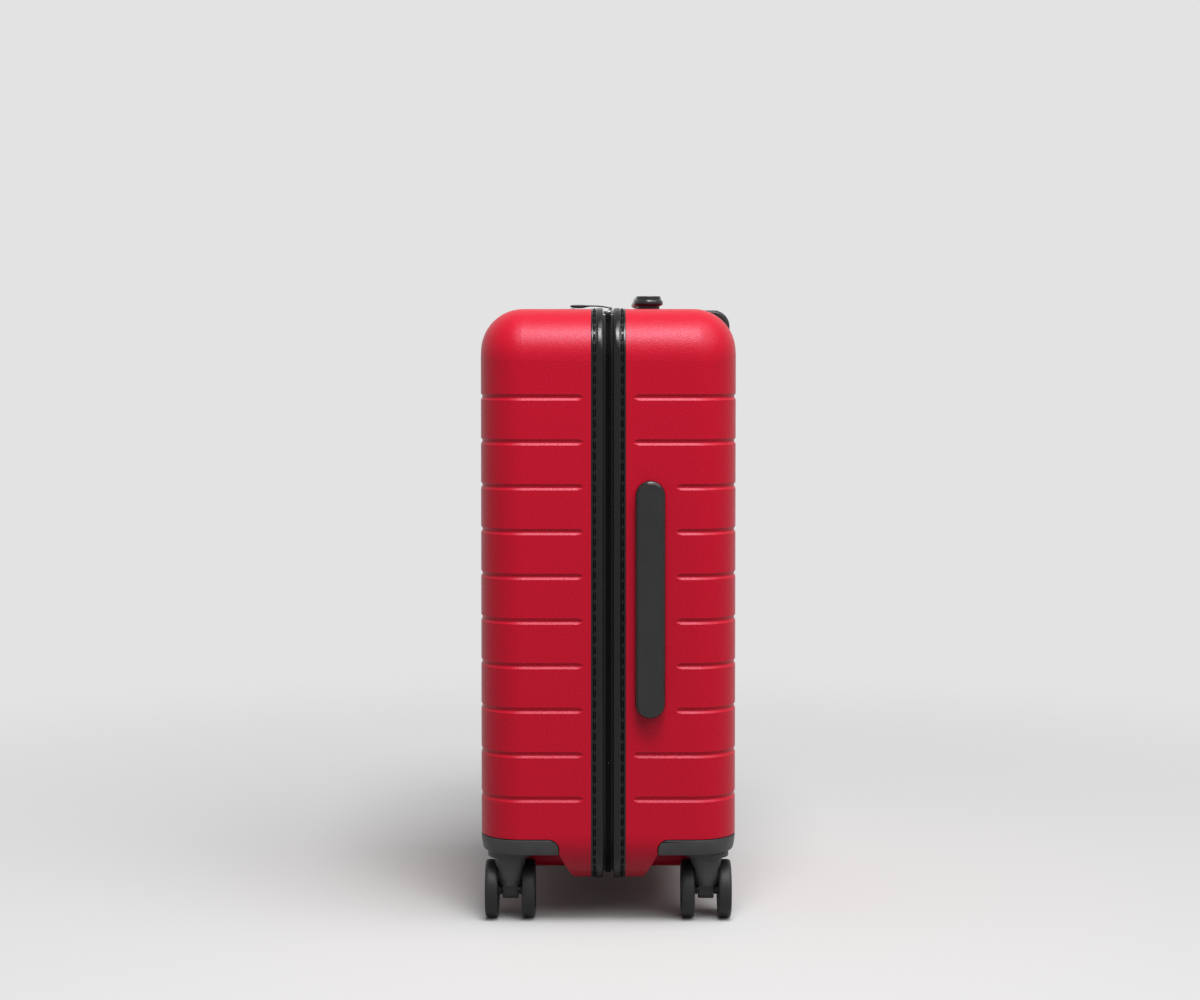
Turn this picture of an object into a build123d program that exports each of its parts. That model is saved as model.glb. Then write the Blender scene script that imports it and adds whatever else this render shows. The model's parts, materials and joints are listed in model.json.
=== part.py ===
"""Cabin-size hard shell suitcase on four twin-wheel casters, in millimetres.

X runs across the case from the hinge side (left, -X) to the side carry handle (right, +X), Y from the front panel
(-Y) to the back panel (+Y) and Z up from the floor, with the origin on the floor under the middle of the shells.
"""

import os
from math import sqrt

from build123d import *

os.makedirs("parts", exist_ok=True)

# Shells
case_width = 354.0
case_depth = 229.0
shell_height = 514.0
shell_bottom = 37.0
corner_radius = 46.0
edge_radius = 38.0
wall = 3.0
shell_top = shell_bottom + shell_height
shell_mid = shell_bottom + shell_height / 2
half_width = case_width / 2
half_depth = case_depth / 2

# Grooves round the shells
groove_count = 10
groove_pitch = 39.7
groove_width = 5.6
groove_floor = 1.6
groove_depth = 1.3
groove_end = 22.5
groove_handle_gap = 10.0
groove_ramp = 6.0
groove_ramp_round = 12.0

# Rim bindings and zip, measured from the parting plane and from the shells' outer surface
rim_edge = 10.0
binding_reach = 15.5
flange_seat = 1.4
flange_proud = 0.3
bead_gap = 4.6
bead_proud = 1.0
bead_round = 2.3
tape_drop = 5.2
tape_thickness = 1.2
tooth_gap = 0.2
tooth_width = 1.7
tooth_height = 1.6

# Linings
lining_gap = 0.5
lining_thickness = 1.5

# Wheel pockets and housings
pocket_across = 71.0
pocket_deep = 71.0
pocket_lean_across = 7.0
pocket_lean_deep = 13.5
pocket_top = 79.5
pocket_round = 10.0
mouth_round = 9.0
housing_bottom = 64.5
housing_gap = 0.9
boss_radius = 20.0
boss_height = 6.0

# Casters
caster_in = 34.0
caster_in_deep = 26.0
trail = 9.0
wheel_radius = 26.0
wheel_thickness = 11.7
wheel_gap = 21.6
wheel_edge = 3.4
wheel_dish = 2.6
wheel_rim = 6.5
crown_gap = 0.4
crown_radius = 14.2
crown_height = 2.0
skirt_radius = 12.0
skirt_above_axle = 13.0
throat_radius = 9.5
throat_above_axle = 6.0
arm_width = 14.0
arm_radius = 8.0
wheel_clear = 0.8
hub_radius = 9.0
pin_radius = 4.0
pin_depth = 13.0
pin_head_radius = 7.0
pin_head_height = 4.0
axle_radius = 2.5
axle_head_radius = 4.6
axle_head_height = 1.2
running_clear = 0.05
press_clear = 0.02
side_clear = 0.4

# Carry handles
handle_length = 211.0
handle_width = 26.5
handle_height = 12.0
handle_in = 77.5
handle_base_height = 4.5
handle_base_inset = 3.2
handle_lift = 18.0
handle_lift_gap = 0.3
handle_top_round = 3.6
handle_under_cut = 2.6
stem_length = 14.0
stem_width = 7.0
stem_inset = 23.0
stem_clear = 0.4
stem_foot_over = 2.5
stem_foot_height = 3.0
retainer_wall = 2.0
retainer_clear = 0.8

# Trolley
grip_length = 152.0
grip_deep = 24.5
grip_tall = 20.5
grip_in = 2.0
grip_below_top = 0.7
grip_round = 15.0
grip_small_round = 4.5
grip_end_round = 3.0
finger_gap = 21.0
cup_wall = 2.2
cup_clear = 0.3
notch_side_gap = 6.0
notch_front_gap = 2.0
tube_spacing = 120.0
tube_across = 20.0
tube_deep = 15.0
tube_wall = 1.2
tube_round = 4.0
tube_clear = 0.3
tube_foot = 78.0
stage_step = 4.0
socket_depth = 8.0
foot_height = 14.0
foot_over = 5.0
button_length = 36.0
button_width = 9.0
button_travel = 4.0
button_proud = 0.5
bar_height = 4.0
bar_width = 5.0
rod_radius = 2.2
tunnel_clear = 2.0

# Zip sliders and pulls
slider_length = 12.0
slider_spacing = 17.0
slider_height = 2.6
slider_clear = 0.3
eye_radius = 1.9
eye_pin_radius = 0.9
pull_width = 6.0
pull_thickness = 1.4
pull_clear = 0.35
tab_width = 9.0
tab_length = 14.0
tab_thickness = 3.0
pull_reach = 36.0
tab_clear = 1.15

# Zip lock on the lid's top
lock_length = 88.0
lock_deep = 30.0
lock_start = 18.0
lock_plate = 1.0
lock_round = 5.0
lock_body_inset = 4.0
lock_body_drop = 13.0
dial_count = 3
dial_pitch = 8.0
dial_first = 19.0
dial_radius = 6.5
dial_width = 5.0
dial_proud = 0.6
dial_clear = 0.4
dial_shaft_radius = 1.5
lock_button_x = -27.0
lock_button_length = 13.0
lock_button_width = 8.0
lock_button_proud = 0.6
lock_button_travel = 1.8
lock_button_clear = 0.3
lock_button_height = 5.0

# Screws
screw_radius = 2.0
screw_head_radius = 4.0
screw_head_height = 2.2
screw_bite = 6.0
screw_clear = 0.1

# Packing straps
strap_width = 25.0
strap_thickness = 1.2
strap_gap = 0.4
strap_spread = 150.0
buckle_length = 58.0
buckle_width = 40.0
buckle_height = 7.0
buckle_gap = 0.3

# Places worked out from those sizes
pocket_x = half_width - pocket_across
pocket_y = half_depth - pocket_deep
caster_x = half_width - caster_in
caster_y = half_depth - caster_in_deep
boss_bottom = housing_bottom - boss_height
crown_top = boss_bottom - crown_gap
handle_y = half_depth - handle_in
lining_inset = wall + lining_gap
floor_inset = lining_inset + lining_thickness
grip_back = half_depth - grip_in
grip_front = grip_back - grip_deep
grip_top = shell_top - grip_below_top
grip_bottom = grip_top - grip_tall
notch_half = grip_length / 2 + notch_side_gap
notch_front = grip_front - notch_front_gap - cup_wall - cup_clear
notch_floor = grip_bottom - finger_gap - cup_wall - cup_clear
tube_x = tube_spacing / 2
tube_y = grip_front + grip_deep / 2
middle_across = tube_across - 2 * (tube_wall + tube_clear)
middle_deep = tube_deep - 2 * (tube_wall + tube_clear)
inner_across = middle_across - 2 * (tube_wall + tube_clear)
inner_deep = middle_deep - 2 * (tube_wall + tube_clear)
cup_floor = notch_floor + cup_clear + cup_wall
valley_top = shell_top - tape_drop + tooth_height
tab_bottom = shell_top + lock_plate + max(dial_proud, lock_button_proud) + tab_clear

sides_x = {"left": -1, "right": 1}
sides_y = {"front": -1, "back": 1}
corners = [(front, side) for front in sides_y for side in sides_x]


def save(part, name):
    """Label a finished piece and write it to its own file."""
    part.label = name
    export_step(part, f"parts/{name}.step")


def depth_plane(side, distance):
    """Upright plane across the case, facing out of the front (-1) or the back (+1) half."""
    return Plane(origin=(0, side * distance, shell_mid), x_dir=(1, 0, 0), z_dir=(0, side, 0))


def depth_profile_plane(side):
    """Plane whose local x runs out of the front or back half, and local y runs up."""
    return Plane(origin=(0, 0, 0), x_dir=(0, side, 0), z_dir=(side, 0, 0))


def width_profile_plane(side, centre_x=0.0, centre_y=0.0):
    """Plane whose local x runs out to the left or right, and local y runs up."""
    return Plane(origin=(centre_x, centre_y, 0), x_dir=(side, 0, 0), z_dir=(0, -side, 0))


def rim_outline(out, mode=Mode.ADD):
    """Outline of the case seen from the front, moved out from the shell's surface."""
    RectangleRounded(case_width + 2 * out, shell_height + 2 * out, corner_radius + out, mode=mode)


def rim_ring(side, near, far, inner, outer):
    """Ring round the rim, between two distances from the parting plane and two heights over the shell."""
    with BuildPart() as ring:
        with BuildSketch(depth_plane(side, near)):
            rim_outline(outer)
            rim_outline(inner, mode=Mode.SUBTRACT)
        extrude(amount=far - near)
    return ring.part


def case_block(side, inset):
    """One half of the case as a block, set in evenly from its outer surface."""
    with BuildPart() as block:
        with BuildSketch(depth_plane(side, rim_edge)):
            rim_outline(-inset)
        extrude(amount=half_depth - inset - rim_edge)
        panel = block.faces().sort_by(Axis.Y)[-1 if side > 0 else 0]
        fillet(panel.edges(), edge_radius - inset)
    return block.part


def pocket_profile(plane, inner, lean, far, grow):
    """Pocket outline: upright beside the housing, leaning in below it, rounded into the case's underside."""
    mouth = inner - lean
    with BuildSketch(plane) as profile:
        with BuildLine():
            Polyline(
                (inner, pocket_top),
                (far, pocket_top),
                (far, shell_bottom - mouth_round),
                (mouth - 2 * mouth_round, shell_bottom - mouth_round),
                (mouth - 2 * mouth_round, shell_bottom),
                (mouth, shell_bottom),
                (inner, housing_bottom),
                close=True,
            )
        make_face()
        fillet(profile.vertices().sort_by_distance((inner, pocket_top, 0))[0], pocket_round)
        fillet(profile.vertices().sort_by_distance((mouth, shell_bottom, 0))[0], mouth_round)
        if grow:
            offset(amount=grow, kind=Kind.INTERSECTION, mode=Mode.REPLACE)
    return profile.sketch


def wheel_pocket(side_x, side_y, grow):
    """Space for one housing and caster at a bottom corner."""
    deep_plane = depth_profile_plane(side_y).offset(-case_width)
    across_plane = width_profile_plane(side_x).offset(-case_depth)
    deep = pocket_profile(deep_plane, pocket_y, pocket_lean_deep, case_depth, grow)
    across = pocket_profile(across_plane, pocket_x, pocket_lean_across, case_width, grow)
    with BuildPart() as pocket:
        extrude(deep, amount=2 * case_width)
        extrude(across, amount=2 * case_depth, mode=Mode.INTERSECT)
    return pocket.part


def trolley_notch(grow):
    """Space at the back top edge for the trolley grip and the fingers under it."""
    with BuildPart() as notch:
        with BuildSketch(Plane.XY.offset(notch_floor - grow)):
            with Locations((0, (notch_front - grow + case_depth) / 2)):
                Rectangle(2 * (notch_half + grow), case_depth - notch_front + grow)
        extrude(amount=shell_height)
    return notch.part


def trolley_tunnel(grow):
    """Space along the back panel, inside the case, for the trolley's tubes."""
    half_across = tube_x + tube_across / 2 + foot_over + tunnel_clear + grow
    front = tube_y - tube_deep / 2 - tunnel_clear - grow
    with BuildPart() as tunnel:
        with BuildSketch(Plane.XY.offset(tube_foot - tunnel_clear - grow)):
            with Locations((0, (front + case_depth) / 2)):
                Rectangle(2 * half_across, case_depth - front)
        extrude(amount=notch_floor - tube_foot + tunnel_clear + grow)
    return tunnel.part


def half_space(side, inset):
    """One half of the case set in by an inset, with its pockets and notch taken out."""
    block = case_block(side, inset)
    cuts = [wheel_pocket(side_x, side, inset) for side_x in sides_x.values()]
    if side > 0:
        cuts.append(trolley_notch(inset))
    with BuildPart() as space:
        add(block)
        add(cuts, mode=Mode.SUBTRACT)
    return space.part


def groove(side, height, right_end, left_end):
    """One soft-sided groove, from the right side round the panel to the left side, running out at its ends."""
    rise = 2 * groove_depth
    flare = groove_width - groove_floor
    right_start = (half_width + rise, side * (right_end - groove_ramp / 2), height)
    left_start = (-half_width - rise, side * (left_end - groove_ramp / 2), height)
    start = Plane(origin=right_start, x_dir=(groove_ramp, side * rise, 0), z_dir=(-rise, side * groove_ramp, 0))
    with BuildPart() as cut:
        with BuildLine() as path:
            FilletPolyline(
                right_start,
                (half_width, side * (right_end + groove_ramp / 2), height),
                (half_width, side * half_depth, height),
                (-half_width, side * half_depth, height),
                (-half_width, side * (left_end + groove_ramp / 2), height),
                left_start,
                radius=[groove_ramp_round, edge_radius, edge_radius, groove_ramp_round],
            )
        with BuildSketch(start):
            with BuildLine():
                Polyline(
                    (-groove_depth, -groove_floor / 2),
                    (groove_depth, -groove_floor / 2 - flare),
                    (groove_depth, groove_floor / 2 + flare),
                    (-groove_depth, groove_floor / 2),
                    close=True,
                )
            make_face()
        sweep(path=path.wire())
    return cut.part


def shell_grooves(side):
    """All grooves of one shell; beside the side handle they stop short of it."""
    cuts = []
    for index in range(groove_count):
        rise = (index - (groove_count - 1) / 2) * groove_pitch
        beside_handle = side > 0 and abs(rise) < handle_length / 2
        short_end = handle_y + handle_width / 2 + groove_handle_gap
        cuts.append(groove(side, shell_mid + rise, short_end if beside_handle else groove_end, groove_end))
    return cuts


side_handle_plane = Plane(origin=(half_width, handle_y, shell_mid), x_dir=(0, 0, 1), z_dir=(1, 0, 0))
top_handle_plane = Plane(origin=(0, handle_y, shell_top), x_dir=(1, 0, 0), z_dir=(0, 0, 1))
handle_planes = {"side": side_handle_plane, "top": top_handle_plane}
stem_reach = handle_length / 2 - stem_inset
stem_places = [(-stem_reach, 0), (stem_reach, 0)]
stem_foot_length = stem_length + 2 * stem_foot_over
stem_foot_width = stem_width + 2 * stem_foot_over
retainer_length = stem_foot_length + 2 * (retainer_clear + retainer_wall)
retainer_width = stem_foot_width + 2 * (retainer_clear + retainer_wall)
retainer_depth = handle_lift + 2 * handle_lift_gap + stem_foot_height + retainer_clear + retainer_wall
handle_screw_places = [(-stem_reach / 2, 0), (stem_reach / 2, 0)]


def handle_cuts(plane, length, width, depth):
    """Pair of rectangular cuts through the shell or lining at a handle's stems."""
    with BuildPart() as cuts:
        with BuildSketch(plane):
            with Locations(stem_places):
                Rectangle(length, width)
        extrude(amount=-depth)
    return cuts.part


def screw_cuts(plane, places, radius, depth):
    """Round cuts for screws, going in from a plane."""
    with BuildPart() as cuts:
        with BuildSketch(plane):
            with Locations(places):
                Circle(radius)
        extrude(amount=-depth)
    return cuts.part


def housing_screw_plane(side_x, side_y, height):
    """Plane at a housing's screws, facing down, with its origin under the caster."""
    return Plane(origin=(side_x * caster_x, side_y * caster_y, height), x_dir=(side_x, 0, 0), z_dir=(0, 0, -1))


def housing_screw_places(side_x, side_y):
    """Two screws inboard of the swivel boss, in the local axes of the housing's screw plane."""
    reach = boss_radius + 2 * screw_head_radius
    return [(-reach, 0), (0, side_x * side_y * reach)]


# Holes that several pieces share
screw_hole = screw_radius + screw_clear
handle_stem_holes = []
lining_handle_holes = []
for plane in handle_planes.values():
    handle_stem_holes.append(
        handle_cuts(plane, stem_length + 2 * stem_clear, stem_width + 2 * stem_clear, floor_inset)
    )
    handle_stem_holes.append(screw_cuts(plane, handle_screw_places, screw_hole, floor_inset))
    lining_handle_holes.append(
        handle_cuts(plane, retainer_length + 2 * lining_gap, retainer_width + 2 * lining_gap, retainer_depth)
    )
    lining_handle_holes.append(screw_cuts(plane, handle_screw_places, screw_head_radius, retainer_depth))
housing_holes = {-1: [], 1: []}
for front, side in corners:
    plane = housing_screw_plane(sides_x[side], sides_y[front], housing_bottom)
    places = housing_screw_places(sides_x[side], sides_y[front])
    depth = pocket_top - housing_bottom + floor_inset + screw_bite
    housing_holes[sides_y[front]].append(screw_cuts(plane, places, screw_hole, depth))


def lock_plane(height):
    """Level plane on the lid's top at the lock's middle."""
    return Plane(origin=(0, -lock_start - lock_deep / 2, height), x_dir=(1, 0, 0), z_dir=(0, 0, 1))


def lock_hole(grow):
    """Hole in the lid's top for the lock's body."""
    with BuildPart() as hole:
        with BuildSketch(lock_plane(shell_top)):
            Rectangle(
                lock_length - 2 * lock_body_inset + 2 * grow,
                lock_deep - 2 * lock_body_inset + 2 * grow,
            )
        extrude(amount=-lock_body_drop)
    return hole.part


def tube_cut(across, deep, bottom, top):
    """Pair of upright rounded rectangular cuts at the trolley's tubes."""
    with BuildPart() as cuts:
        with BuildSketch(Plane.XY.offset(bottom)):
            with Locations((-tube_x, tube_y), (tube_x, tube_y)):
                RectangleRounded(across, deep, tube_round)
        extrude(amount=top - bottom)
    return cuts.part


# Shells
shell_extra_cuts = {
    -1: [lock_hole(cup_clear)],
    1: [
        *handle_stem_holes,
        tube_cut(tube_across + 2 * press_clear, tube_deep + 2 * press_clear, tube_foot, shell_top),
    ],
}
for front, side in sides_y.items():
    outside = half_space(side, 0)
    inside = half_space(side, wall)
    rebate = rim_ring(side, rim_edge, binding_reach, -flange_seat, wall)
    cuts = [inside, rebate, *shell_grooves(side), *housing_holes[side], *shell_extra_cuts[side]]
    with BuildPart() as shell:
        add(outside)
        add(cuts, mode=Mode.SUBTRACT)
    save(shell.part, f"{front}_shell")

# Rim bindings: a stitched flange in the shell's rebate, and a round bead over its raw edge
for front, side in sides_y.items():
    flange = rim_ring(side, rim_edge, binding_reach, -flange_seat, flange_proud)
    with BuildPart() as binding:
        with BuildSketch(depth_plane(side, bead_gap)):
            rim_outline(bead_proud)
            rim_outline(-tape_drop, mode=Mode.SUBTRACT)
        extrude(amount=rim_edge - bead_gap)
        inner_face = binding.faces().sort_by(Axis.Y)[0 if side > 0 else -1]
        fillet(inner_face.outer_wire().edges(), bead_round)
        add(flange)
    save(binding.part, f"{front}_binding")

# Zip tapes with their rows of teeth, left out along the hinge side
hinge_run = shell_height - 2 * corner_radius
for front, side in sides_y.items():
    teeth = rim_ring(side, tooth_gap, tooth_gap + tooth_width, -tape_drop, -tape_drop + tooth_height)
    with BuildPart() as tape:
        with BuildSketch(depth_plane(side, tooth_gap)):
            rim_outline(-tape_drop)
            rim_outline(-tape_drop - tape_thickness, mode=Mode.SUBTRACT)
        extrude(amount=rim_edge - tooth_gap)
        add(teeth)
        with BuildSketch(depth_plane(side, tooth_gap)):
            with Locations((-half_width, 0)):
                Rectangle(corner_radius, hinge_run)
        extrude(amount=rim_edge, mode=Mode.SUBTRACT)
    save(tape.part, f"{front}_zip_tape")

# Hinge webs: woven strips that close the hinge side and fold on its outer edge
web_outer = bead_round - bead_proud + press_clear
for front, side in sides_y.items():
    with BuildPart() as web:
        with BuildSketch(depth_plane(side, tooth_gap)):
            with Locations((-half_width + web_outer + tape_thickness / 2, 0)):
                Rectangle(tape_thickness, hinge_run)
        extrude(amount=bead_gap - tooth_gap)
    save(web.part, f"{front}_hinge_web")

# Linings
lining_extra_cuts = {-1: [lock_hole(lining_gap)], 1: lining_handle_holes}
for front, side in sides_y.items():
    outside = half_space(side, lining_inset)
    inside = half_space(side, floor_inset)
    tunnels = []
    inner_tunnels = []
    if side > 0:
        tunnels.append(trolley_tunnel(0))
        inner_tunnels.append(trolley_tunnel(lining_thickness))
    with BuildPart() as room:
        add(inside)
        if inner_tunnels:
            add(inner_tunnels, mode=Mode.SUBTRACT)
    with BuildPart() as lining:
        add(outside)
        if tunnels:
            add(tunnels, mode=Mode.SUBTRACT)
        add(room.part, mode=Mode.SUBTRACT)
        add([*housing_holes[side], *lining_extra_cuts[side]], mode=Mode.SUBTRACT)
    save(lining.part, f"{front}_lining")

# Wheel housings: corner caps flush with the shell, with a boss over each caster
for front, side in corners:
    side_x = sides_x[side]
    side_y = sides_y[front]
    block = case_block(side_y, 0)
    seat = wheel_pocket(side_x, side_y, -housing_gap)
    swivel = Plane(origin=(side_x * caster_x, side_y * caster_y, 0))
    screw_plane = housing_screw_plane(side_x, side_y, housing_bottom)
    heads = screw_cuts(
        screw_plane,
        housing_screw_places(side_x, side_y),
        screw_head_radius + screw_clear,
        screw_head_height + screw_clear,
    )
    with BuildPart() as housing:
        add(block)
        add(seat, mode=Mode.INTERSECT)
        split(bisect_by=Plane.XY.offset(housing_bottom), keep=Keep.TOP)
        with BuildSketch(swivel.offset(boss_bottom)):
            Circle(boss_radius)
        extrude(amount=boss_height)
        with BuildSketch(swivel.offset(boss_bottom)):
            Circle(pin_radius + press_clear)
        extrude(amount=pocket_top, mode=Mode.SUBTRACT)
        with BuildSketch(swivel.offset(pocket_top)):
            Circle(pin_head_radius + press_clear)
        extrude(amount=-pin_head_height - housing_gap, mode=Mode.SUBTRACT)
        add([heads, *housing_holes[side_y]], mode=Mode.SUBTRACT)
    save(housing.part, f"{front}_{side}_housing")

# Swivel pins, headed on top and held in the housings
for front, side_y in sides_y.items():
    with BuildPart() as pins:
        with BuildSketch(Plane.XY.offset(crown_top - pin_depth)):
            with Locations((-caster_x, side_y * caster_y), (caster_x, side_y * caster_y)):
                Circle(pin_radius)
        extrude(amount=pocket_top - housing_gap - crown_top + pin_depth)
        with BuildSketch(Plane.XY.offset(pocket_top - housing_gap - pin_head_height)):
            with Locations((-caster_x, side_y * caster_y), (caster_x, side_y * caster_y)):
                Circle(pin_head_radius)
        extrude(amount=pin_head_height)
    save(pins.part, f"{front}_swivel_pins")

# Casters: fork, axle and two wheels at each corner, trailing towards the middle of the case
wheel_outer = wheel_gap / 2 + wheel_thickness
for front, side in corners:
    side_x = sides_x[side]
    side_y = sides_y[front]
    centre_x = side_x * caster_x
    centre_y = side_y * caster_y
    axle_x = centre_x - side_x * trail
    profile_plane = width_profile_plane(-side_x, centre_x, centre_y)
    swivel_axis = Axis((centre_x, centre_y, 0), (0, 0, 1))
    axle_axis = Axis((axle_x, centre_y, wheel_radius), (0, 1, 0))
    with BuildPart() as fork:
        with BuildSketch(profile_plane):
            with BuildLine():
                Polyline(
                    (0, crown_top),
                    (crown_radius, crown_top),
                    (crown_radius, crown_top - crown_height),
                    (skirt_radius, wheel_radius + skirt_above_axle),
                    (throat_radius, wheel_radius + throat_above_axle),
                    (0, wheel_radius + throat_above_axle),
                    close=True,
                )
            make_face()
        revolve(axis=swivel_axis)
        for outward in (-1, 1):
            with BuildSketch(profile_plane.offset(outward * (wheel_gap / 2 - side_clear))):
                with Locations((trail, wheel_radius)):
                    Circle(wheel_radius + wheel_clear)
            extrude(amount=outward * wheel_thickness, mode=Mode.SUBTRACT)
        with BuildSketch(profile_plane):
            with Locations((0, wheel_radius + hub_radius + arm_radius)):
                Circle(arm_radius)
            with Locations((trail, wheel_radius)):
                Circle(hub_radius)
            make_hull()
        extrude(amount=arm_width / 2, both=True)
        with BuildSketch(profile_plane):
            with Locations((trail, wheel_radius)):
                Circle(axle_radius + press_clear)
        extrude(amount=arm_width, both=True, mode=Mode.SUBTRACT)
        with BuildSketch(Plane(origin=(centre_x, centre_y, crown_top))):
            Circle(pin_radius + running_clear)
        extrude(amount=-pin_depth - side_clear, mode=Mode.SUBTRACT)
    save(fork.part, f"{front}_{side}_fork")

    head_start = wheel_outer - wheel_dish + side_clear
    with BuildPart() as axle:
        with BuildSketch(profile_plane):
            with Locations((trail, wheel_radius)):
                Circle(axle_radius)
        extrude(amount=head_start, both=True)
        for outward in (-1, 1):
            with BuildSketch(profile_plane.offset(outward * head_start)):
                with Locations((trail, wheel_radius)):
                    Circle(axle_head_radius)
            extrude(amount=outward * axle_head_height)
    save(axle.part, f"{front}_{side}_axle")

    for wheel_name, outward in (("outer", side_y), ("inner", -side_y)):
        wheel_plane = Plane(
            origin=(axle_x, centre_y + outward * wheel_gap / 2, wheel_radius),
            x_dir=(0, 0, 1),
            z_dir=(outward, 0, 0),
        )
        with BuildPart() as wheel:
            with BuildSketch(wheel_plane):
                with BuildLine():
                    Polyline(
                        (axle_radius + running_clear, 0),
                        (wheel_radius, 0),
                        (wheel_radius, -wheel_thickness),
                        (wheel_radius - wheel_rim, -wheel_thickness),
                        (wheel_radius - wheel_rim - wheel_dish / 2, wheel_dish - wheel_thickness),
                        (axle_radius + running_clear, wheel_dish - wheel_thickness),
                        close=True,
                    )
                section = make_face()
                tread = section.vertices().group_by(Axis.X)[-1]
                fillet(tread, wheel_edge)
            revolve(axis=axle_axis)
        save(wheel.part, f"{front}_{side}_{wheel_name}_wheel")

# Carry handles: a base on the shell, a grip that lifts off it on two stems, and boxes that hold the stems inside
for name, plane in handle_planes.items():
    with BuildPart() as base:
        with BuildSketch(plane):
            SlotOverall(handle_length - 2 * handle_base_inset, handle_width - 2 * handle_base_inset)
            with Locations(stem_places):
                Rectangle(stem_length + 2 * stem_clear, stem_width + 2 * stem_clear, mode=Mode.SUBTRACT)
            with Locations(handle_screw_places):
                Circle(screw_hole, mode=Mode.SUBTRACT)
        extrude(amount=handle_base_height)
        with BuildSketch(plane.offset(handle_base_height)):
            with Locations(handle_screw_places):
                Circle(screw_head_radius + screw_clear)
        extrude(amount=-screw_head_height - screw_clear, mode=Mode.SUBTRACT)
    save(base.part, f"{name}_handle_base")

    grip_start = handle_base_height + handle_lift_gap
    stem_end = wall + handle_lift + handle_lift_gap + stem_foot_height
    with BuildPart() as handle:
        with BuildSketch(plane.offset(grip_start)):
            SlotOverall(handle_length, handle_width)
        extrude(amount=handle_height - grip_start)
        normal_axis = Axis(plane.origin, plane.z_dir)
        fillet(handle.faces().sort_by(normal_axis)[-1].edges(), handle_top_round)
        chamfer(handle.faces().sort_by(normal_axis)[0].edges(), handle_under_cut)
        with BuildSketch(plane.offset(grip_start)):
            with Locations(stem_places):
                Rectangle(stem_length, stem_width)
        extrude(amount=-grip_start - stem_end)
        with BuildSketch(plane.offset(-stem_end)):
            with Locations(stem_places):
                Rectangle(stem_foot_length, stem_foot_width)
        extrude(amount=stem_foot_height)
    save(handle.part, f"{name}_handle")

    with BuildPart() as retainer:
        with BuildSketch(plane.offset(-wall)):
            with Locations(stem_places):
                Rectangle(retainer_length, retainer_width)
        extrude(amount=-retainer_depth)
        with BuildSketch(plane.offset(-wall)):
            with Locations(stem_places):
                Rectangle(retainer_length - 2 * retainer_wall, retainer_width - 2 * retainer_wall)
        extrude(amount=retainer_wall - retainer_depth, mode=Mode.SUBTRACT)
    save(retainer.part, f"{name}_handle_retainers")


def screw_group(plane, places, head_outer, length):
    """Pan-head screws whose heads end a set distance out of a plane."""
    with BuildPart() as screws:
        with BuildSketch(plane.offset(head_outer)):
            with Locations(places):
                Circle(screw_head_radius)
        extrude(amount=-screw_head_height)
        with BuildSketch(plane.offset(head_outer - screw_head_height)):
            with Locations(places):
                Circle(screw_radius)
        extrude(amount=-length)
    return screws.part


# Screws: one group on the lid, one on the base with the handles' screws
housing_screw_length = pocket_top - housing_bottom - screw_head_height + wall + lining_gap
handle_screw_length = handle_base_height - screw_head_height + wall + lining_gap
for front, side_y in sides_y.items():
    groups = []
    for side_x in sides_x.values():
        plane = housing_screw_plane(side_x, side_y, housing_bottom)
        groups.append(screw_group(plane, housing_screw_places(side_x, side_y), 0, housing_screw_length))
    if side_y > 0:
        for plane in handle_planes.values():
            groups.append(screw_group(plane, handle_screw_places, handle_base_height, handle_screw_length))
    with BuildPart() as screws:
        add(groups)
    save(screws.part, f"{front}_screws")


# Trolley cup: lines the notch, flush with the shell
back_block = case_block(1, 0)
cup_outside = trolley_notch(-cup_clear)
cup_inside = trolley_notch(-cup_clear - cup_wall)
cup_tube_holes = tube_cut(
    middle_across + 2 * tube_clear, middle_deep + 2 * tube_clear, notch_floor - wall, shell_top
)
with BuildPart() as cup:
    add(back_block)
    add(cup_outside, mode=Mode.INTERSECT)
    add([cup_inside, cup_tube_holes], mode=Mode.SUBTRACT)
save(cup.part, "trolley_cup")


def tube_pair(across, deep, bottom, top):
    """Two rounded rectangular tubes, open at both ends."""
    with BuildPart() as tubes:
        with BuildSketch(Plane.XY.offset(bottom)):
            with Locations((-tube_x, tube_y), (tube_x, tube_y)):
                RectangleRounded(across, deep, tube_round)
                RectangleRounded(
                    across - 2 * tube_wall,
                    deep - 2 * tube_wall,
                    tube_round - tube_wall,
                    mode=Mode.SUBTRACT,
                )
        extrude(amount=top - bottom)
    return tubes.part


# Trolley tubes in three sizes, and the foot that holds the outer pair to the back panel
middle_bottom = tube_foot + stage_step
middle_top = cup_floor + stage_step
inner_bottom = middle_bottom + stage_step
save(tube_pair(tube_across, tube_deep, tube_foot, notch_floor + cup_clear), "trolley_outer_tubes")
save(tube_pair(middle_across, middle_deep, middle_bottom, middle_top), "trolley_middle_tubes")
save(tube_pair(inner_across, inner_deep, inner_bottom, grip_bottom + socket_depth), "trolley_inner_tubes")

foot_length = tube_spacing + tube_across + 2 * foot_over
foot_front = tube_y - tube_deep / 2
foot_back = half_depth - wall
with BuildPart() as foot:
    with BuildSketch(Plane.XY.offset(tube_foot)):
        with Locations((0, (foot_front + foot_back) / 2)):
            Rectangle(foot_length, foot_back - foot_front)
        with Locations((-tube_x, tube_y), (tube_x, tube_y)):
            RectangleRounded(
                tube_across + 2 * press_clear,
                tube_deep + 2 * press_clear,
                tube_round,
                mode=Mode.SUBTRACT,
            )
    extrude(amount=foot_height)
save(foot.part, "trolley_foot")

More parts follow.
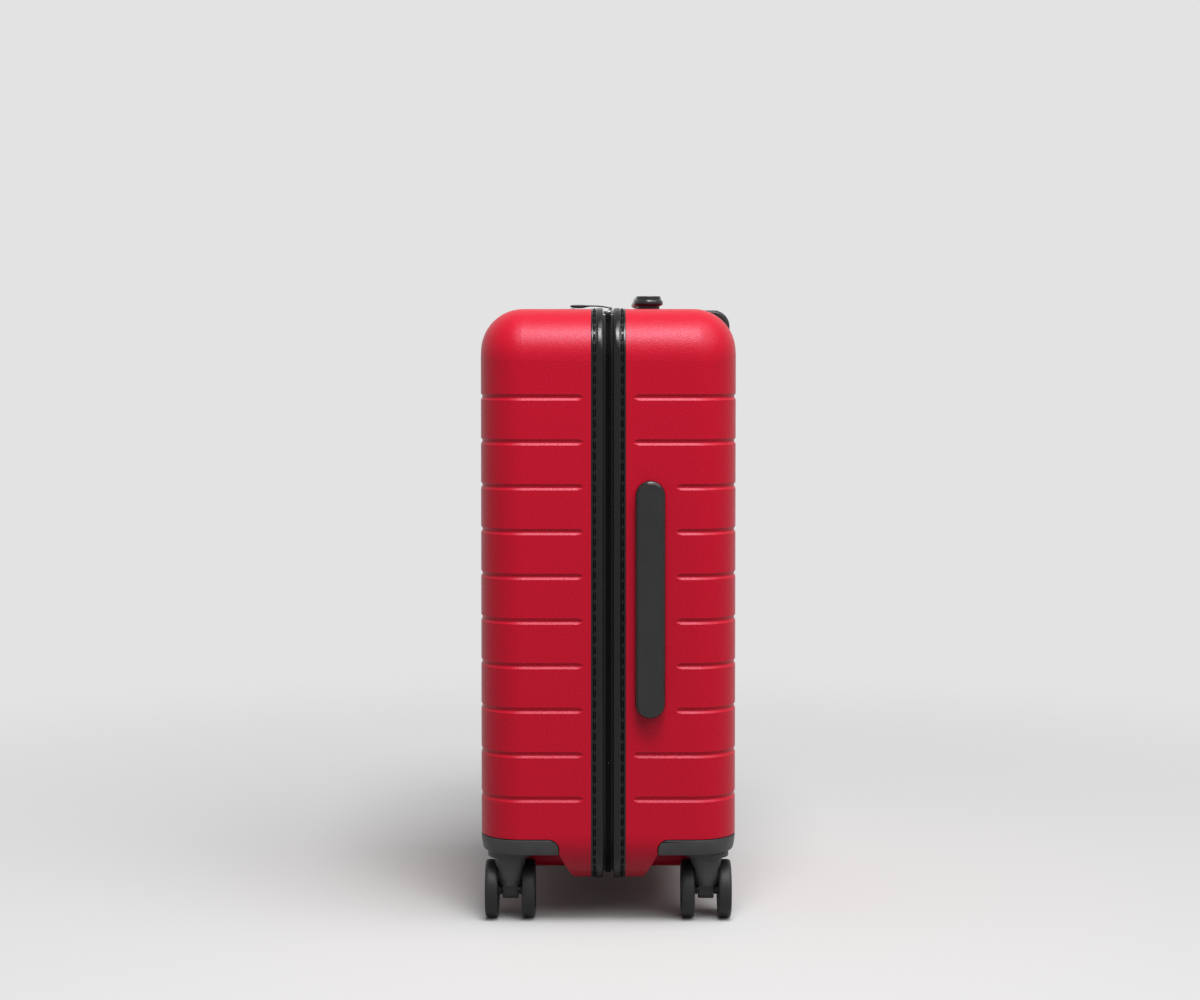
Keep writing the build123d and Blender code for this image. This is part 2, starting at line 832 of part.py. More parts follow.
# Trolley grip, hollow for the release bar, with a socket over each inner tube
bar_half = tube_x + rod_radius
bar_top = grip_top - grip_small_round
bar_bottom = bar_top - bar_height
with BuildPart() as grip:
    with BuildSketch(Plane.YZ.offset(-grip_length / 2)):
        with Locations(((grip_front + grip_back) / 2, (grip_bottom + grip_top) / 2)):
            section = Rectangle(grip_deep, grip_tall)
        back_top = section.vertices().sort_by_distance((grip_back, grip_top, 0))[0]
        fillet(back_top, grip_round)
        small = section.vertices().sort_by_distance((grip_back, grip_top, 0))[1:]
        fillet(small, grip_small_round)
    extrude(amount=grip_length)
    ends = grip.faces().filter_by(Axis.X)
    fillet(ends.edges(), grip_end_round)
    with BuildSketch(Plane.XY.offset(grip_bottom)):
        with Locations((-tube_x, tube_y), (tube_x, tube_y)):
            RectangleRounded(inner_across + 2 * press_clear, inner_deep + 2 * press_clear, tube_round)
    extrude(amount=socket_depth, mode=Mode.SUBTRACT)
    with BuildSketch(Plane.XY.offset(bar_bottom - button_travel - tube_clear)):
        with Locations((0, tube_y)):
            Rectangle(2 * (bar_half + tube_clear), bar_width + 2 * tube_clear)
    extrude(amount=bar_height + button_travel + 2 * tube_clear, mode=Mode.SUBTRACT)
    with BuildSketch(Plane.XY.offset(bar_top - button_travel - tube_clear)):
        with Locations((0, tube_y)):
            SlotOverall(button_length + 2 * tube_clear, button_width + 2 * tube_clear)
    extrude(amount=grip_tall, mode=Mode.SUBTRACT)
save(grip.part, "trolley_grip")

# Release button, and the bar and rods that it presses
with BuildPart() as button:
    with BuildSketch(Plane.XY.offset(bar_top)):
        with Locations((0, tube_y)):
            SlotOverall(button_length, button_width)
    extrude(amount=grip_top + button_proud - bar_top)
save(button.part, "trolley_button")

with BuildPart() as rods:
    with BuildSketch(Plane.XY.offset(bar_bottom)):
        with Locations((0, tube_y)):
            Rectangle(2 * bar_half, bar_width)
    extrude(amount=bar_height)
    with BuildSketch(Plane.XY.offset(inner_bottom + stage_step + button_travel)):
        with Locations((-tube_x, tube_y), (tube_x, tube_y)):
            Circle(rod_radius)
    extrude(amount=bar_bottom - inner_bottom - stage_step - button_travel)
save(rods.part, "trolley_push_rods")

# Zip sliders on the top run, each with a pull that arches over the front binding and lies on the lock
slider_bottom = valley_top + slider_clear
slider_top = slider_bottom + slider_height
slider_half_deep = bead_gap - slider_clear
eye_y = slider_half_deep - eye_radius
eye_z = slider_top + eye_radius + slider_clear
arch_bottom = shell_top + bead_proud + pull_clear
arch_top = max(arch_bottom + pull_thickness, tab_bottom + tab_thickness)
for side, side_x in sides_x.items():
    slider_x = side_x * slider_spacing / 2
    across = Plane(origin=(slider_x, 0, 0), x_dir=(0, 1, 0), z_dir=(1, 0, 0))
    with BuildPart() as slider:
        with BuildSketch(Plane(origin=(slider_x, 0, slider_bottom))):
            RectangleRounded(slider_length, 2 * slider_half_deep, slider_half_deep / 2)
        extrude(amount=slider_height)
        for outward in (-1, 1):
            with BuildSketch(across.offset(outward * (pull_width / 2 + slider_clear))):
                with BuildLine():
                    Polyline(
                        (eye_y - eye_radius, slider_top),
                        (eye_y - eye_radius, eye_z),
                        (eye_y + eye_radius, eye_z),
                        (eye_y + eye_radius, slider_top),
                        close=True,
                    )
                make_face()
                with Locations((eye_y, eye_z)):
                    Circle(eye_radius)
            extrude(amount=outward * pull_thickness)
        with BuildSketch(across):
            with Locations((eye_y, eye_z)):
                Circle(eye_pin_radius)
        extrude(amount=pull_width / 2 + slider_clear, both=True)
    save(slider.part, f"{side}_zip_slider")

    with BuildPart() as pull:
        with BuildSketch(across):
            with BuildLine():
                Polyline(
                    (eye_y + eye_radius, eye_z),
                    (eye_y, arch_top),
                    (-pull_reach + tab_length, arch_top),
                    (-pull_reach + tab_length, arch_top - pull_thickness),
                    (eye_y - eye_radius, arch_top - pull_thickness),
                    (eye_y - eye_radius, eye_z),
                    close=True,
                )
            make_face()
            with Locations((eye_y, eye_z)):
                Circle(eye_radius)
                Circle(eye_pin_radius + running_clear, mode=Mode.SUBTRACT)
        extrude(amount=pull_width / 2, both=True)
        with BuildSketch(Plane(origin=(slider_x, -pull_reach + tab_length / 2, tab_bottom))):
            RectangleRounded(tab_width, tab_length, tab_width / 4)
        extrude(amount=tab_thickness)
    save(pull.part, f"{side}_zip_pull")

# Zip lock on the lid: plate and body with windows for the dials and the release button
lock_top = shell_top + lock_plate
dial_centre = lock_top + dial_proud - dial_radius
dial_row = lock_plane(dial_centre).origin.Y
dial_places = [dial_first + index * dial_pitch for index in range(dial_count)]
dial_middle = (dial_places[0] + dial_places[-1]) / 2
dial_shaft_half = (dial_places[-1] - dial_places[0] + dial_width) / 2 + 2 * dial_clear
with BuildPart() as lock:
    with BuildSketch(lock_plane(shell_top)):
        RectangleRounded(lock_length, lock_deep, lock_round)
    extrude(amount=lock_plate)
    with BuildSketch(lock_plane(shell_top)):
        Rectangle(lock_length - 2 * lock_body_inset, lock_deep - 2 * lock_body_inset)
    extrude(amount=-lock_body_drop)
    with BuildSketch(lock_plane(lock_top)):
        with Locations([(place, 0) for place in dial_places]):
            Rectangle(dial_width + 2 * dial_clear, 2 * (dial_radius + dial_clear))
    extrude(amount=-2 * dial_radius + dial_proud - dial_clear, mode=Mode.SUBTRACT)
    with BuildSketch(Plane.YZ.offset(dial_middle)):
        with Locations((dial_row, dial_centre)):
            Circle(dial_shaft_radius)
    extrude(amount=dial_shaft_half, both=True)
    with BuildSketch(lock_plane(lock_top)):
        with Locations((lock_button_x, 0)):
            Rectangle(
                lock_button_length + 2 * lock_button_clear,
                lock_button_width + 2 * lock_button_clear,
            )
    extrude(amount=-lock_button_height - lock_button_travel, mode=Mode.SUBTRACT)
save(lock.part, "lock_body")

for index, place in enumerate(dial_places):
    with BuildPart() as dial:
        with BuildSketch(Plane.YZ.offset(place)):
            with Locations((dial_row, dial_centre)):
                Circle(dial_radius)
                Circle(dial_shaft_radius + running_clear, mode=Mode.SUBTRACT)
        extrude(amount=dial_width / 2, both=True)
    save(dial.part, f"lock_dial_{index + 1}")

with BuildPart() as lock_button:
    with BuildSketch(lock_plane(lock_top + lock_button_proud)):
        with Locations((lock_button_x, 0)):
            Rectangle(lock_button_length, lock_button_width)
    extrude(amount=-lock_button_height)
save(lock_button.part, "lock_button")

# Packing straps: two V-shaped webs from the side walls to a buckle, over the trolley tunnel
strap_back = tube_y - tube_deep / 2 - tunnel_clear - lining_thickness - strap_gap
floor_round = edge_radius - floor_inset
into_round = max(0.0, strap_back - half_depth + edge_radius)
strap_end = half_width - floor_inset - strap_gap - floor_round + sqrt(floor_round**2 - into_round**2)
strap_start = buckle_length / 2 + buckle_gap
with BuildPart() as straps:
    for side_x in sides_x.values():
        with BuildSketch(depth_plane(-1, -strap_back)):
            with BuildLine():
                Polyline(
                    (side_x * strap_start, -strap_width),
                    (side_x * strap_end, -strap_spread - strap_width),
                    (side_x * strap_end, -strap_spread),
                    (side_x * (strap_start + strap_width), 0),
                    (side_x * strap_end, strap_spread),
                    (side_x * strap_end, strap_spread + strap_width),
                    (side_x * strap_start, strap_width),
                    close=True,
                )
            make_face()
        extrude(amount=strap_thickness)
save(straps.part, "packing_straps")

with BuildPart() as buckle:
    for side_x in sides_x.values():
        with BuildSketch(depth_plane(-1, -strap_back)):
            with Locations((side_x * (buckle_length / 4 + buckle_gap / 4), 0)):
                RectangleRounded(buckle_length / 2 - buckle_gap / 2, buckle_width, strap_thickness * 3)
        extrude(amount=buckle_height)
save(buckle.part, "strap_buckle")
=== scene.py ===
"""Looks of a cabin-size hard shell suitcase, dressed round its fixed frame, in metres.

X runs from the hinge side to the side handle, Y from the front panel to the back panel and Z up from
the floor. The sizes come first, piece by piece.
"""

import json
from functools import partial
from math import ceil, copysign, cos, pi, radians, sin

import bmesh
import bpy
from mathutils import Matrix, Vector, noise
from mathutils.bvhtree import BVHTree


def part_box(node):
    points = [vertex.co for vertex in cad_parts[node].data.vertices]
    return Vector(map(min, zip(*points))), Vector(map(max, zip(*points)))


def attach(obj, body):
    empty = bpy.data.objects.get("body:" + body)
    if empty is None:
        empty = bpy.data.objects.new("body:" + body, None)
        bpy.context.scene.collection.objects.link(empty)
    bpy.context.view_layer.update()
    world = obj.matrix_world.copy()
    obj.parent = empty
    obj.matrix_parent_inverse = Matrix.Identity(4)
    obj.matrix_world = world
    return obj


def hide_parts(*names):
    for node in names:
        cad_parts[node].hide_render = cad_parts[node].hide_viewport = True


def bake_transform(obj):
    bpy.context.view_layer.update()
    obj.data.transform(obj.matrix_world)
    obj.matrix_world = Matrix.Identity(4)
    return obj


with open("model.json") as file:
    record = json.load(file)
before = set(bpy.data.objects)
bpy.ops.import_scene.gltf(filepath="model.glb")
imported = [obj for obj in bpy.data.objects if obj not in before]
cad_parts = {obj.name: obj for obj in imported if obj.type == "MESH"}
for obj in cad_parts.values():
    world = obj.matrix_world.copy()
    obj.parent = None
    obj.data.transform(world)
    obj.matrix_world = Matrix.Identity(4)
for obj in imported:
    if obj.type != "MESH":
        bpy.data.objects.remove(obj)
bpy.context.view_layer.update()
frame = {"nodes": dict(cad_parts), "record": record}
nodes = frame["nodes"]
MM = 0.001
TINY = 0.001 * MM
SIDES = {"front": -1, "back": 1}
BODIES = {"front": "lid", "back": "base"}
CORNERS = ((1, 1), (-1, 1), (-1, -1), (1, -1))


def metres(*rows):
    """Rows of sizes in millimetres as rows in metres."""
    return [tuple(value * MM for value in row) for row in rows]


# Case and the path round its rim
shell_low, shell_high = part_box("back_shell")
half_width = shell_high.x
shell_top = shell_high.z
shell_mid = (shell_low.z + shell_high.z) / 2
shell_height = shell_high.z - shell_low.z
rim_edge = shell_low.y
corner_radius = 46 * MM
ring_spacing = 24 * MM
corner_rings = 14

# Rim bindings, measured across from the parting plane and up from the shell's surface
binding_low, binding_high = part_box("back_binding")
binding_reach = binding_high.y
flange_proud = 0.3 * MM
flange_under = -1.4 * MM
flange_corner = 0.4 * MM
channel_at = 12.5 * MM
channel_half = 0.85 * MM
channel_depth = 0.5 * MM
bead_gap = binding_low.y
bead_proud = binding_high.x - half_width
bead_half = 3.3 * MM
bead_rise = 1.5 * MM
bead_fullness = 0.75
bead_start = radians(25)
bead_steps = 14

# Binding stitches, with spans of (way along, size, sink) as shares
stitch_pitch = 9.6 * MM
stitch_length = 8 * MM
stitch_half = 0.7 * MM
stitch_lift = 0.6 * stitch_half
stitch_spans = [(-1, 0.25, 1), (-0.8, 0.8, 0.25), (0, 1, 0), (0.8, 0.8, 0.25), (1, 0.25, 1)]

# Zip tapes and teeth, with spans of (across, share of the tooth's size)
tape_low, tape_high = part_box("back_zip_tape")
tape_edge = tape_low.y
tape_drop = 5.2 * MM
tape_thickness = 1.2 * MM
tape_rib = 0.2 * MM
rib_gap = 0.3 * MM
rib_slope = 0.2 * MM
rib_width = 0.9 * MM
tooth_pitch = 2.2 * MM
tooth_height = tape_high.z - shell_top + tape_drop
tooth_root = 2.4 * MM
tooth_half = 0.42 * MM
tooth_spans = [(-0.35 * MM, 0.45), (0.1 * MM, 1), (1.2 * MM, 0.85), (tooth_root, 0.7)]

# Hinge web
web_low, web_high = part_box("back_hinge_web")
web_columns = 18
web_rows = 40

# Carry handles, measured out from the shell's surface
handle_low, handle_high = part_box("top_handle")
handle_length = handle_high.x - handle_low.x
handle_width = handle_high.y - handle_low.y
handle_y = (handle_low.y + handle_high.y) / 2
handle_base_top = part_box("top_handle_base")[1].z - shell_top
handle_under = handle_base_top + 0.3 * MM
grip_height = 7.2 * MM
grip_core = 9.5 * MM
recess_inset = 2.8 * MM
lip_drop = 1.4 * MM
lip_middle = 0.6 * MM
lip_inset = 2.15 * MM
lip_height = 3.5 * MM
lip_sweep = radians(82)
plate_inset = 2.2 * MM
plate_edge = 0.6 * MM
stem_at = handle_length / 2 - 23 * MM
stem_low = handle_low.z - shell_top
stem_half, foot_half = metres((7, 3.5), (9.5, 6))
stem_overlap = 1 * MM
stem_corner = 1.2 * MM
stem_edge = 0.4 * MM
foot_height = 3 * MM
foot_edge = 0.5 * MM

# Caster wheels: hub section as (radius, height), spoke as (half length, half width, low, high, corner, edge)
wheel_low, wheel_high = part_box("back_left_outer_wheel")
tyre_radius = (wheel_high.z - wheel_low.z) / 2
tyre_width = wheel_high.y - wheel_low.y
tyre_bore = 19.6 * MM
bore_chamfer = 0.3 * MM
shoulder_reach = 2.6 * MM
shoulder_depth = 4.2 * MM
shoulder_fullness = 0.75
hub_profile = metres(
    (2.6, -3.3), (5, -3.3), (5.4, -2.9), (5.4, 0.3), (9, 0.3), (9.6, 0.8), (18.6, 0.8), (19.2, 0.3),
    (19.7, 0.3), (19.7, 11.3), (19.1, 11.3), (18.4, 9.2), (9.6, 9), (9.1, 9.3), (8.6, 10), (6.4, 10),
    (5.6, 9.2), (2.6, 9),
)
spoke_count = 6
spoke_middle = 13.9 * MM
spoke_block = metres((5, 1.6, 8.6, 10.3, 0.7, 0.4))[0]

# Zip sliders, with levels of (inset, rise)
slider_levels = metres(
    (0.7, 0), (0.1, 0.3), (0, 0.9), (0.9, 1.15), (0.9, 1.5), (0.2, 1.75), (0.2, 2.3), (0.7, 2.6)
)
slider_corner = 2 * MM
lug_half = 0.65 * MM
lug_gap = 0.35 * MM
lug_depth = 2 * MM
pin_radius = 0.85 * MM

# Zip pulls, with stations of (way along, rise, half width, half thickness) from the eye to the tab
eye_radius = 1.9 * MM
eye_bore = 0.95 * MM
eye_half = 3 * MM
eye_edge = 0.2 * MM
arm_stations = metres(
    (-0.2, 0.9, 2.6, 0.5), (-1.6, 1.15, 2.6, 0.5), (-3.6, 1.5, 2.5, 0.55), (-6, 1.9, 2.4, 0.55),
    (-8.6, 2.25, 2.3, 0.55), (-11.7, 2.55, 2.2, 0.55), (-15.4, 2.7, 2.2, 0.55), (-19.4, 2.7, 2.4, 0.6),
    (-22.9, 2.5, 3.2, 0.85), (-24.9, 2.3, 4, 1.2), (-26.9, 2.2, 4.4, 1.45), (-30.4, 2.2, 4.5, 1.5),
    (-33.9, 2.2, 4.4, 1.4), (-36.2, 2.25, 4.1, 1.15), (-37.6, 2.3, 3.5, 0.8), (-38.2, 2.35, 2.7, 0.45),
)

# Linings
lining_inset = 5 * MM
lining_round = 33 * MM
lining_floor = shell_high.y - lining_inset
lining_mouth = rim_edge + 0.6 * MM
lining_sink = 0.6 * MM
least_corner = 4 * MM
fixing_lift = 0.5 * MM
cloth_thickness = 0.7 * MM
piping_radius = 1.5 * MM
tray_steps = (34, 46)
tray_corner_steps = 8
wall_steps = 14
round_steps = 9
floor_steps = 22
floor_middle = 5 * MM

# Points that the linings are drawn out from: shares of the outline, depth, and reach past it
draw_x = 0.4
draw_up = 0.5
draw_depth = lining_mouth + 4 * MM
draw_past = 2 * MM

# Folds of the linings: depth, steady share, and scales and shares of a broad and a fine wave
fold_depth = 1 * MM
fold_share = 0.35
broad_scale = 16
broad_share = 0.45
fine_scale = 52
fine_share = 0.2
fine_shift = Vector((3.1, 7.7, 1.3))

# Packing straps
strap_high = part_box("packing_straps")[1]
buckle_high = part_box("strap_buckle")[1]
strap_back = strap_high.y - 0.9 * MM
strap_half = 11 * MM
strap_thickness = 1.1 * MM
strap_bow = 1.6 * MM
arm_start = buckle_high.x + 5 * MM
arm_start_rise = 6 * MM
arm_end = strap_high.x - 6 * MM
arm_end_rise = strap_high.z - shell_mid - 20 * MM
hem_length = 24 * MM
hem_inset = 0.3 * MM
hem_short = 0.5 * MM
hem_stand = 1.3 * strap_thickness
hem_box, patch_box = metres((8, 8), (7, 9))
hem_box_stand = 2.25 * strap_thickness
patch_start = buckle_high.x - 6 * MM
patch_end = buckle_high.x + 24 * MM
patch_half = 12 * MM
patch_stand = 2.4 * strap_thickness
patch_box_at = buckle_high.x + 14 * MM
sewing_half = 0.45 * MM
sewing_reach = 1 * MM
sewing_pitch = 2.6 * MM

# Buckle blocks of (x, across, half length, half width, low, high, corner, edge), and its thumb ribs
buckle_blocks = metres(
    (-12, 0, 17, 14.5, 0.3, 6.3, 3, 1.2),
    (-12.5, 0, 11, 4, 5.6, 6.9, 2, 0.6),
    (-7, 16, 10, 3, 1.2, 5.6, 2.4, 0.9),
    (-7, -16, 10, 3, 1.2, 5.6, 2.4, 0.9),
    (17, 0, 11.6, 18.6, 0.3, 5.2, 3.5, 1.2),
    (10, 0, 1.6, 17, 4.4, 6.6, 1.2, 0.7),
    (18, 0, 1.6, 17, 4.4, 6.6, 1.2, 0.7),
    (25.5, 0, 2.2, 17, 4.4, 6.6, 1.2, 0.7),
)
thumb_ribs = 5
thumb_first = -13 * MM
thumb_pitch = 3 * MM
thumb_across = 18.6 * MM
thumb_block = metres((0.6, 1, 1.6, 5.2, 0.4, 0.3))[0]

# Lock dials, with half the section as (radius, way along) and knurls on what stands over the band
dial_half = metres((1.7, -2.5), (5.9, -2.5), (6.4, -2.3), (6.5, -2), (6.5, -1.75), (6.15, -1.55))
dial_band = dial_half[-1][0]
knurl_count = 30
knurl_depth = 0.28 * MM
numeral_size = 3.915 * MM
numeral_rise = 0.16 * MM

# Screws, with the head's edge as (radius, height) and the cross recess as (half length, half width)
screws_low, screws_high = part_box("front_screws")
axle_low, axle_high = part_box("back_left_axle")
screw_steps = 48
head_radius = 4 * MM
head_height = 2.2 * MM
head_profile = [(head_radius, -head_height), *metres((4, -0.7), (3.85, -0.35), (3.5, -0.1), (3, 0))]
shaft_radius = 2 * MM
tip_radius = 1.4 * MM
tip_length = 0.6 * MM
cross_top, cross_floor = metres((2.2, 0.55), (1.5, 0.4))
cross_depth = 1.2 * MM
caster_x = screws_high.x - head_radius
caster_y = (axle_low.y + axle_high.y) / 2
screw_reach = 28 * MM
caster_screw_length = screws_high.z - screws_low.z - head_height
handle_screw_length = 5.8 * MM

# Soft edges of the rigid nodes, by material slot
soft_edges = {
    "housing_black": 0.6 * MM,
    "fork_black": 0.7 * MM,
    "handle_black": 0.5 * MM,
    "trim_black": 0.5 * MM,
    "button_grey": 0.4 * MM,
    "zip_metal": 0.3 * MM,
}
weld_distance = 0.005 * MM
flat_angle = radians(0.4)
sharp_angle = radians(32)

# Studio
floor_reach = 1.7
floor_fade = (0.45, 1.5)
floor_bounce = 0.22
floor_seen = 0.55
ambient = 0.29
key_towards = Vector((1.1, 0.95, 2.45))
key_strength = 2.47
key_spread = radians(60)
softbox_place = Vector((0.93, 0.1, 1.94))
softbox_towards = softbox_place - Vector((half_width, 0, shell_top))
softbox_size = 0.65
softbox_power = 25.0
camera_place = (half_width + 2.050, -7.45 * MM, 0.5288)
camera_tilt = radians(2.2)
camera_lens = 69.75
camera_shift = -0.0642


# Materials

NOISE_LOW = 0.3
NOISE_HIGH = 0.7


def srgb(red, green, blue):
    """Screen colour, from 0 to 255, as linear red, green, blue and alpha."""
    def linear(value):
        share = value / 255
        return share / 12.92 if share <= 0.04045 else ((share + 0.055) / 1.055) ** 2.4
    return (linear(red), linear(green), linear(blue), 1.0)


def add_node(tree, kind, inputs, **settings):
    """New node, with its inputs linked or set by name or number."""
    made = tree.nodes.new(kind)
    for name, value in settings.items():
        setattr(made, name, value)
    for name, value in inputs.items():
        if isinstance(value, bpy.types.NodeSocket):
            tree.links.new(value, made.inputs[name])
        else:
            made.inputs[name].default_value = value
    return made


def eye_rays(tree):
    """1 for what the eye sees, also in mirrors and through clear parts, and 0 for light."""
    path = add_node(tree, "ShaderNodeLightPath", {}).outputs
    seen = path["Is Camera Ray"]
    for ray in ("Is Glossy Ray", "Is Transmission Ray"):
        seen = add_node(tree, "ShaderNodeMath", {0: seen, 1: path[ray]}, operation="MAXIMUM").outputs[0]
    return seen


class Finish:
    """A node material, put together from a few textures in the object's own metres."""

    def __init__(self, name, specular=0.5, **settings):
        self.material = bpy.data.materials.new(name)
        self.material.use_nodes = True
        self.tree = self.material.node_tree
        self.shader = self.tree.nodes["Principled BSDF"]
        self.shader.inputs["Specular IOR Level"].default_value = specular
        for socket, value in settings.items():
            self.shader.inputs[socket.replace("_", " ").title()].default_value = value
        self.node = partial(add_node, self.tree)
        self.place = self.node("ShaderNodeTexCoord", {}).outputs["Object"]

    def math(self, operation, *values):
        """Result of one operation on sockets and numbers."""
        return self.node("ShaderNodeMath", dict(enumerate(values)), operation=operation).outputs[0]

    def noise(self, scale, detail=2.0, place=None):
        """Cloudy mask."""
        inputs = {"Vector": place or self.place, "Scale": scale, "Detail": detail}
        return self.node("ShaderNodeTexNoise", inputs).outputs[0]

    def bands(self, scale, direction):
        """Mask of even bands across a direction."""
        inputs = {"Vector": self.place, "Scale": scale}
        return self.node("ShaderNodeTexWave", inputs, bands_direction=direction).outputs[1]

    def colours(self, mask, low, high, start=NOISE_LOW, end=NOISE_HIGH):
        """Base colour that goes from one colour to another with a mask."""
        ramp = self.node("ShaderNodeValToRGB", {0: mask})
        for element, position, colour in zip(ramp.color_ramp.elements, (start, end), (low, high)):
            element.position = position
            element.color = colour
        self.tree.links.new(ramp.outputs[0], self.shader.inputs["Base Color"])

    def roughness_range(self, mask, low, high):
        """Roughness that goes from one value to another with a mask."""
        inputs = {"Value": mask, "To Min": low, "To Max": high}
        inputs.update({"From Min": NOISE_LOW, "From Max": NOISE_HIGH})
        spread = self.node("ShaderNodeMapRange", inputs)
        self.tree.links.new(spread.outputs[0], self.shader.inputs["Roughness"])

    def bump(self, height, depth, strength):
        """Relief of a real depth."""
        inputs = {"Height": height, "Distance": depth, "Strength": strength}
        relief = self.node("ShaderNodeBump", inputs)
        self.tree.links.new(relief.outputs[0], self.shader.inputs["Normal"])


def shell_finish():
    """Pebbled red polycarbonate with a satin face."""
    finish = Finish("shell_red", specular=0.29, specular_tint=(1.0, 0.8, 1.0, 1.0))
    finish.colours(finish.noise(scale=520), srgb(176, 0, 27), srgb(188, 0, 36))
    finish.roughness_range(finish.noise(scale=900, detail=1), low=0.32, high=0.42)
    finish.bump(finish.noise(scale=820), depth=0.4 * MM, strength=0.5)
    return finish.material


def moulded_finish(name, grey, roughness, grain=0.12 * MM, specular=0.3):
    """Moulded plastic with a fine grain and faint handling marks."""
    finish = Finish(name, specular)
    low = srgb(grey - 5, grey - 5, grey - 4)
    high = srgb(grey + 4, grey + 4, grey + 5)
    finish.colours(finish.noise(scale=60, detail=4), low, high)
    finish.roughness_range(finish.noise(scale=35, detail=5), roughness - 0.06, roughness + 0.08)
    finish.bump(finish.noise(scale=900), depth=grain, strength=0.5)
    return finish.material


def binding_finish():
    """Soft black vinyl with a leather-like grain."""
    finish = Finish("binding_black", specular=0.32)
    finish.colours(finish.noise(scale=120, detail=3), srgb(5, 5, 6), srgb(9, 9, 10))
    finish.roughness_range(finish.noise(scale=200, detail=3), low=0.12, high=0.23)
    cells = finish.node("ShaderNodeTexVoronoi", {"Vector": finish.place, "Scale": 1100}).outputs["Distance"]
    finish.bump(cells, depth=0.1 * MM, strength=0.5)
    return finish.material


def woven_finish(name, low, high, pitch, across):
    """Plain weave of two yarns, each with its bands across one direction."""
    finish = Finish(name, specular=0.14, roughness=0.85, sheen_weight=0.15)
    scale = 1 / pitch / 3.2
    weave = finish.math("MAXIMUM", finish.bands(scale, across[0]), finish.bands(scale, across[1]))
    cloudy = finish.math("MULTIPLY_ADD", finish.noise(scale=70, detail=4), 0.35, 0.5)
    finish.colours(finish.math("MULTIPLY", weave, cloudy), srgb(*low), srgb(*high), start=0.15)
    finish.bump(weave, depth=pitch / 4, strength=0.6)
    return finish.material


def metal_finish(name, colour, roughness, grain=(1, 1, 1)):
    """Metal with fine lines, drawn out along an axis by its grain."""
    finish = Finish(name, metallic=1.0)
    stretch = finish.node("ShaderNodeMapping", {"Vector": finish.place, "Scale": grain})
    lines = finish.noise(scale=160, detail=4, place=stretch.outputs[0])
    bright = srgb(*colour)
    dark = tuple(0.86 * value for value in bright[:3]) + (1.0,)
    finish.colours(lines, dark, bright)
    finish.roughness_range(lines, roughness - 0.05, roughness + 0.1)
    finish.bump(lines, depth=0.02 * MM, strength=0.4)
    return finish.material


def each(finish, looks):
    """Materials of one kind, by name."""
    return {name: finish(name, **look) for name, look in looks.items()}


materials = {
    "shell_red": shell_finish(),
    "binding_black": binding_finish(),
    **each(woven_finish, {
        "zip_black": dict(low=(16, 16, 17), high=(32, 32, 33), pitch=0.7 * MM, across=("Y", "DIAGONAL")),
        "web_black": dict(low=(16, 16, 17), high=(34, 34, 35), pitch=0.9 * MM, across=("Y", "Z")),
        "strap_black": dict(low=(18, 18, 19), high=(40, 40, 41), pitch=1.1 * MM, across=("X", "DIAGONAL")),
        "lining_grey": dict(low=(84, 85, 90), high=(122, 123, 129), pitch=0.8 * MM, across=("X", "Z")),
    }),
    **each(metal_finish, {
        "steel": dict(colour=(190, 190, 192), roughness=0.32),
        "tube_alu": dict(colour=(196, 198, 202), roughness=0.3, grain=(8, 8, 0.2)),
    }),
    **each(moulded_finish, {
        "housing_black": dict(grey=65, roughness=0.5),
        # painted fill light: the forks' grey is set lighter than the housings' to make up for the shade they
        # sit in under the case
        "fork_black": dict(grey=72, roughness=0.46),
        "wheel_black": dict(grey=32, roughness=0.5, grain=0.08 * MM),
        "handle_black": dict(grey=17, roughness=0.26, specular=0.5),
        "trim_black": dict(grey=36, roughness=0.42),
        "button_grey": dict(grey=84, roughness=0.42),
        "zip_metal": dict(grey=30, roughness=0.4),
        "dial_black": dict(grey=34, roughness=0.4),
    }),
}

# Materials of details that share another piece's slot
slider_metal = metal_finish("slider_metal", colour=(214, 214, 216), roughness=0.3)
thread_black = moulded_finish("thread_black", grey=10, roughness=0.6, grain=0.05 * MM, specular=0.15)
hub_black = moulded_finish("hub_black", grey=50, roughness=0.42)
numeral_white = moulded_finish("numeral_white", grey=225, roughness=0.5, grain=0.03 * MM)


# Mesh helpers

def piece(name, solid, slot, body, *stands_for, angle=38, material=None):
    """New mesh object on a body, in place of the nodes it stands for."""
    verts, faces = solid
    mesh = bpy.data.meshes.new(name)
    mesh.from_pydata([tuple(vert) for vert in verts], [], faces)
    work = bmesh.new()
    work.from_mesh(mesh)
    bmesh.ops.recalc_face_normals(work, faces=work.faces)
    work.to_mesh(mesh)
    work.free()
    mesh.materials.append(material or materials[slot])
    for polygon in mesh.polygons:
        polygon.use_smooth = True
    mesh.set_sharp_from_angle(angle=radians(angle))
    made = bpy.data.objects.new(name, mesh)
    bpy.context.scene.collection.objects.link(made)
    if stands_for:
        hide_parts(*stands_for)
    if body:
        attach(made, body)
    return made


def loft(rings, closed=False):
    """Vertices and faces of a skin over equal rings, capped unless they go round."""
    count = len(rings[0])
    verts = [point for ring in rings for point in ring]
    faces = []
    for index in range(len(rings) if closed else len(rings) - 1):
        near = index * count
        far = (index + 1) % len(rings) * count
        for step in range(count):
            after = (step + 1) % count
            faces.append((near + step, near + after, far + after, far + step))
    if not closed:
        faces.append(tuple(range(count)))
        faces.append(tuple(range(len(verts) - count, len(verts))))
    return verts, faces


def gather(parts):
    """Several sets of vertices and faces as one."""
    verts = []
    faces = []
    for part_verts, part_faces in parts:
        start = len(verts)
        verts.extend(part_verts)
        faces.extend(tuple(start + index for index in face) for face in part_faces)
    return verts, faces


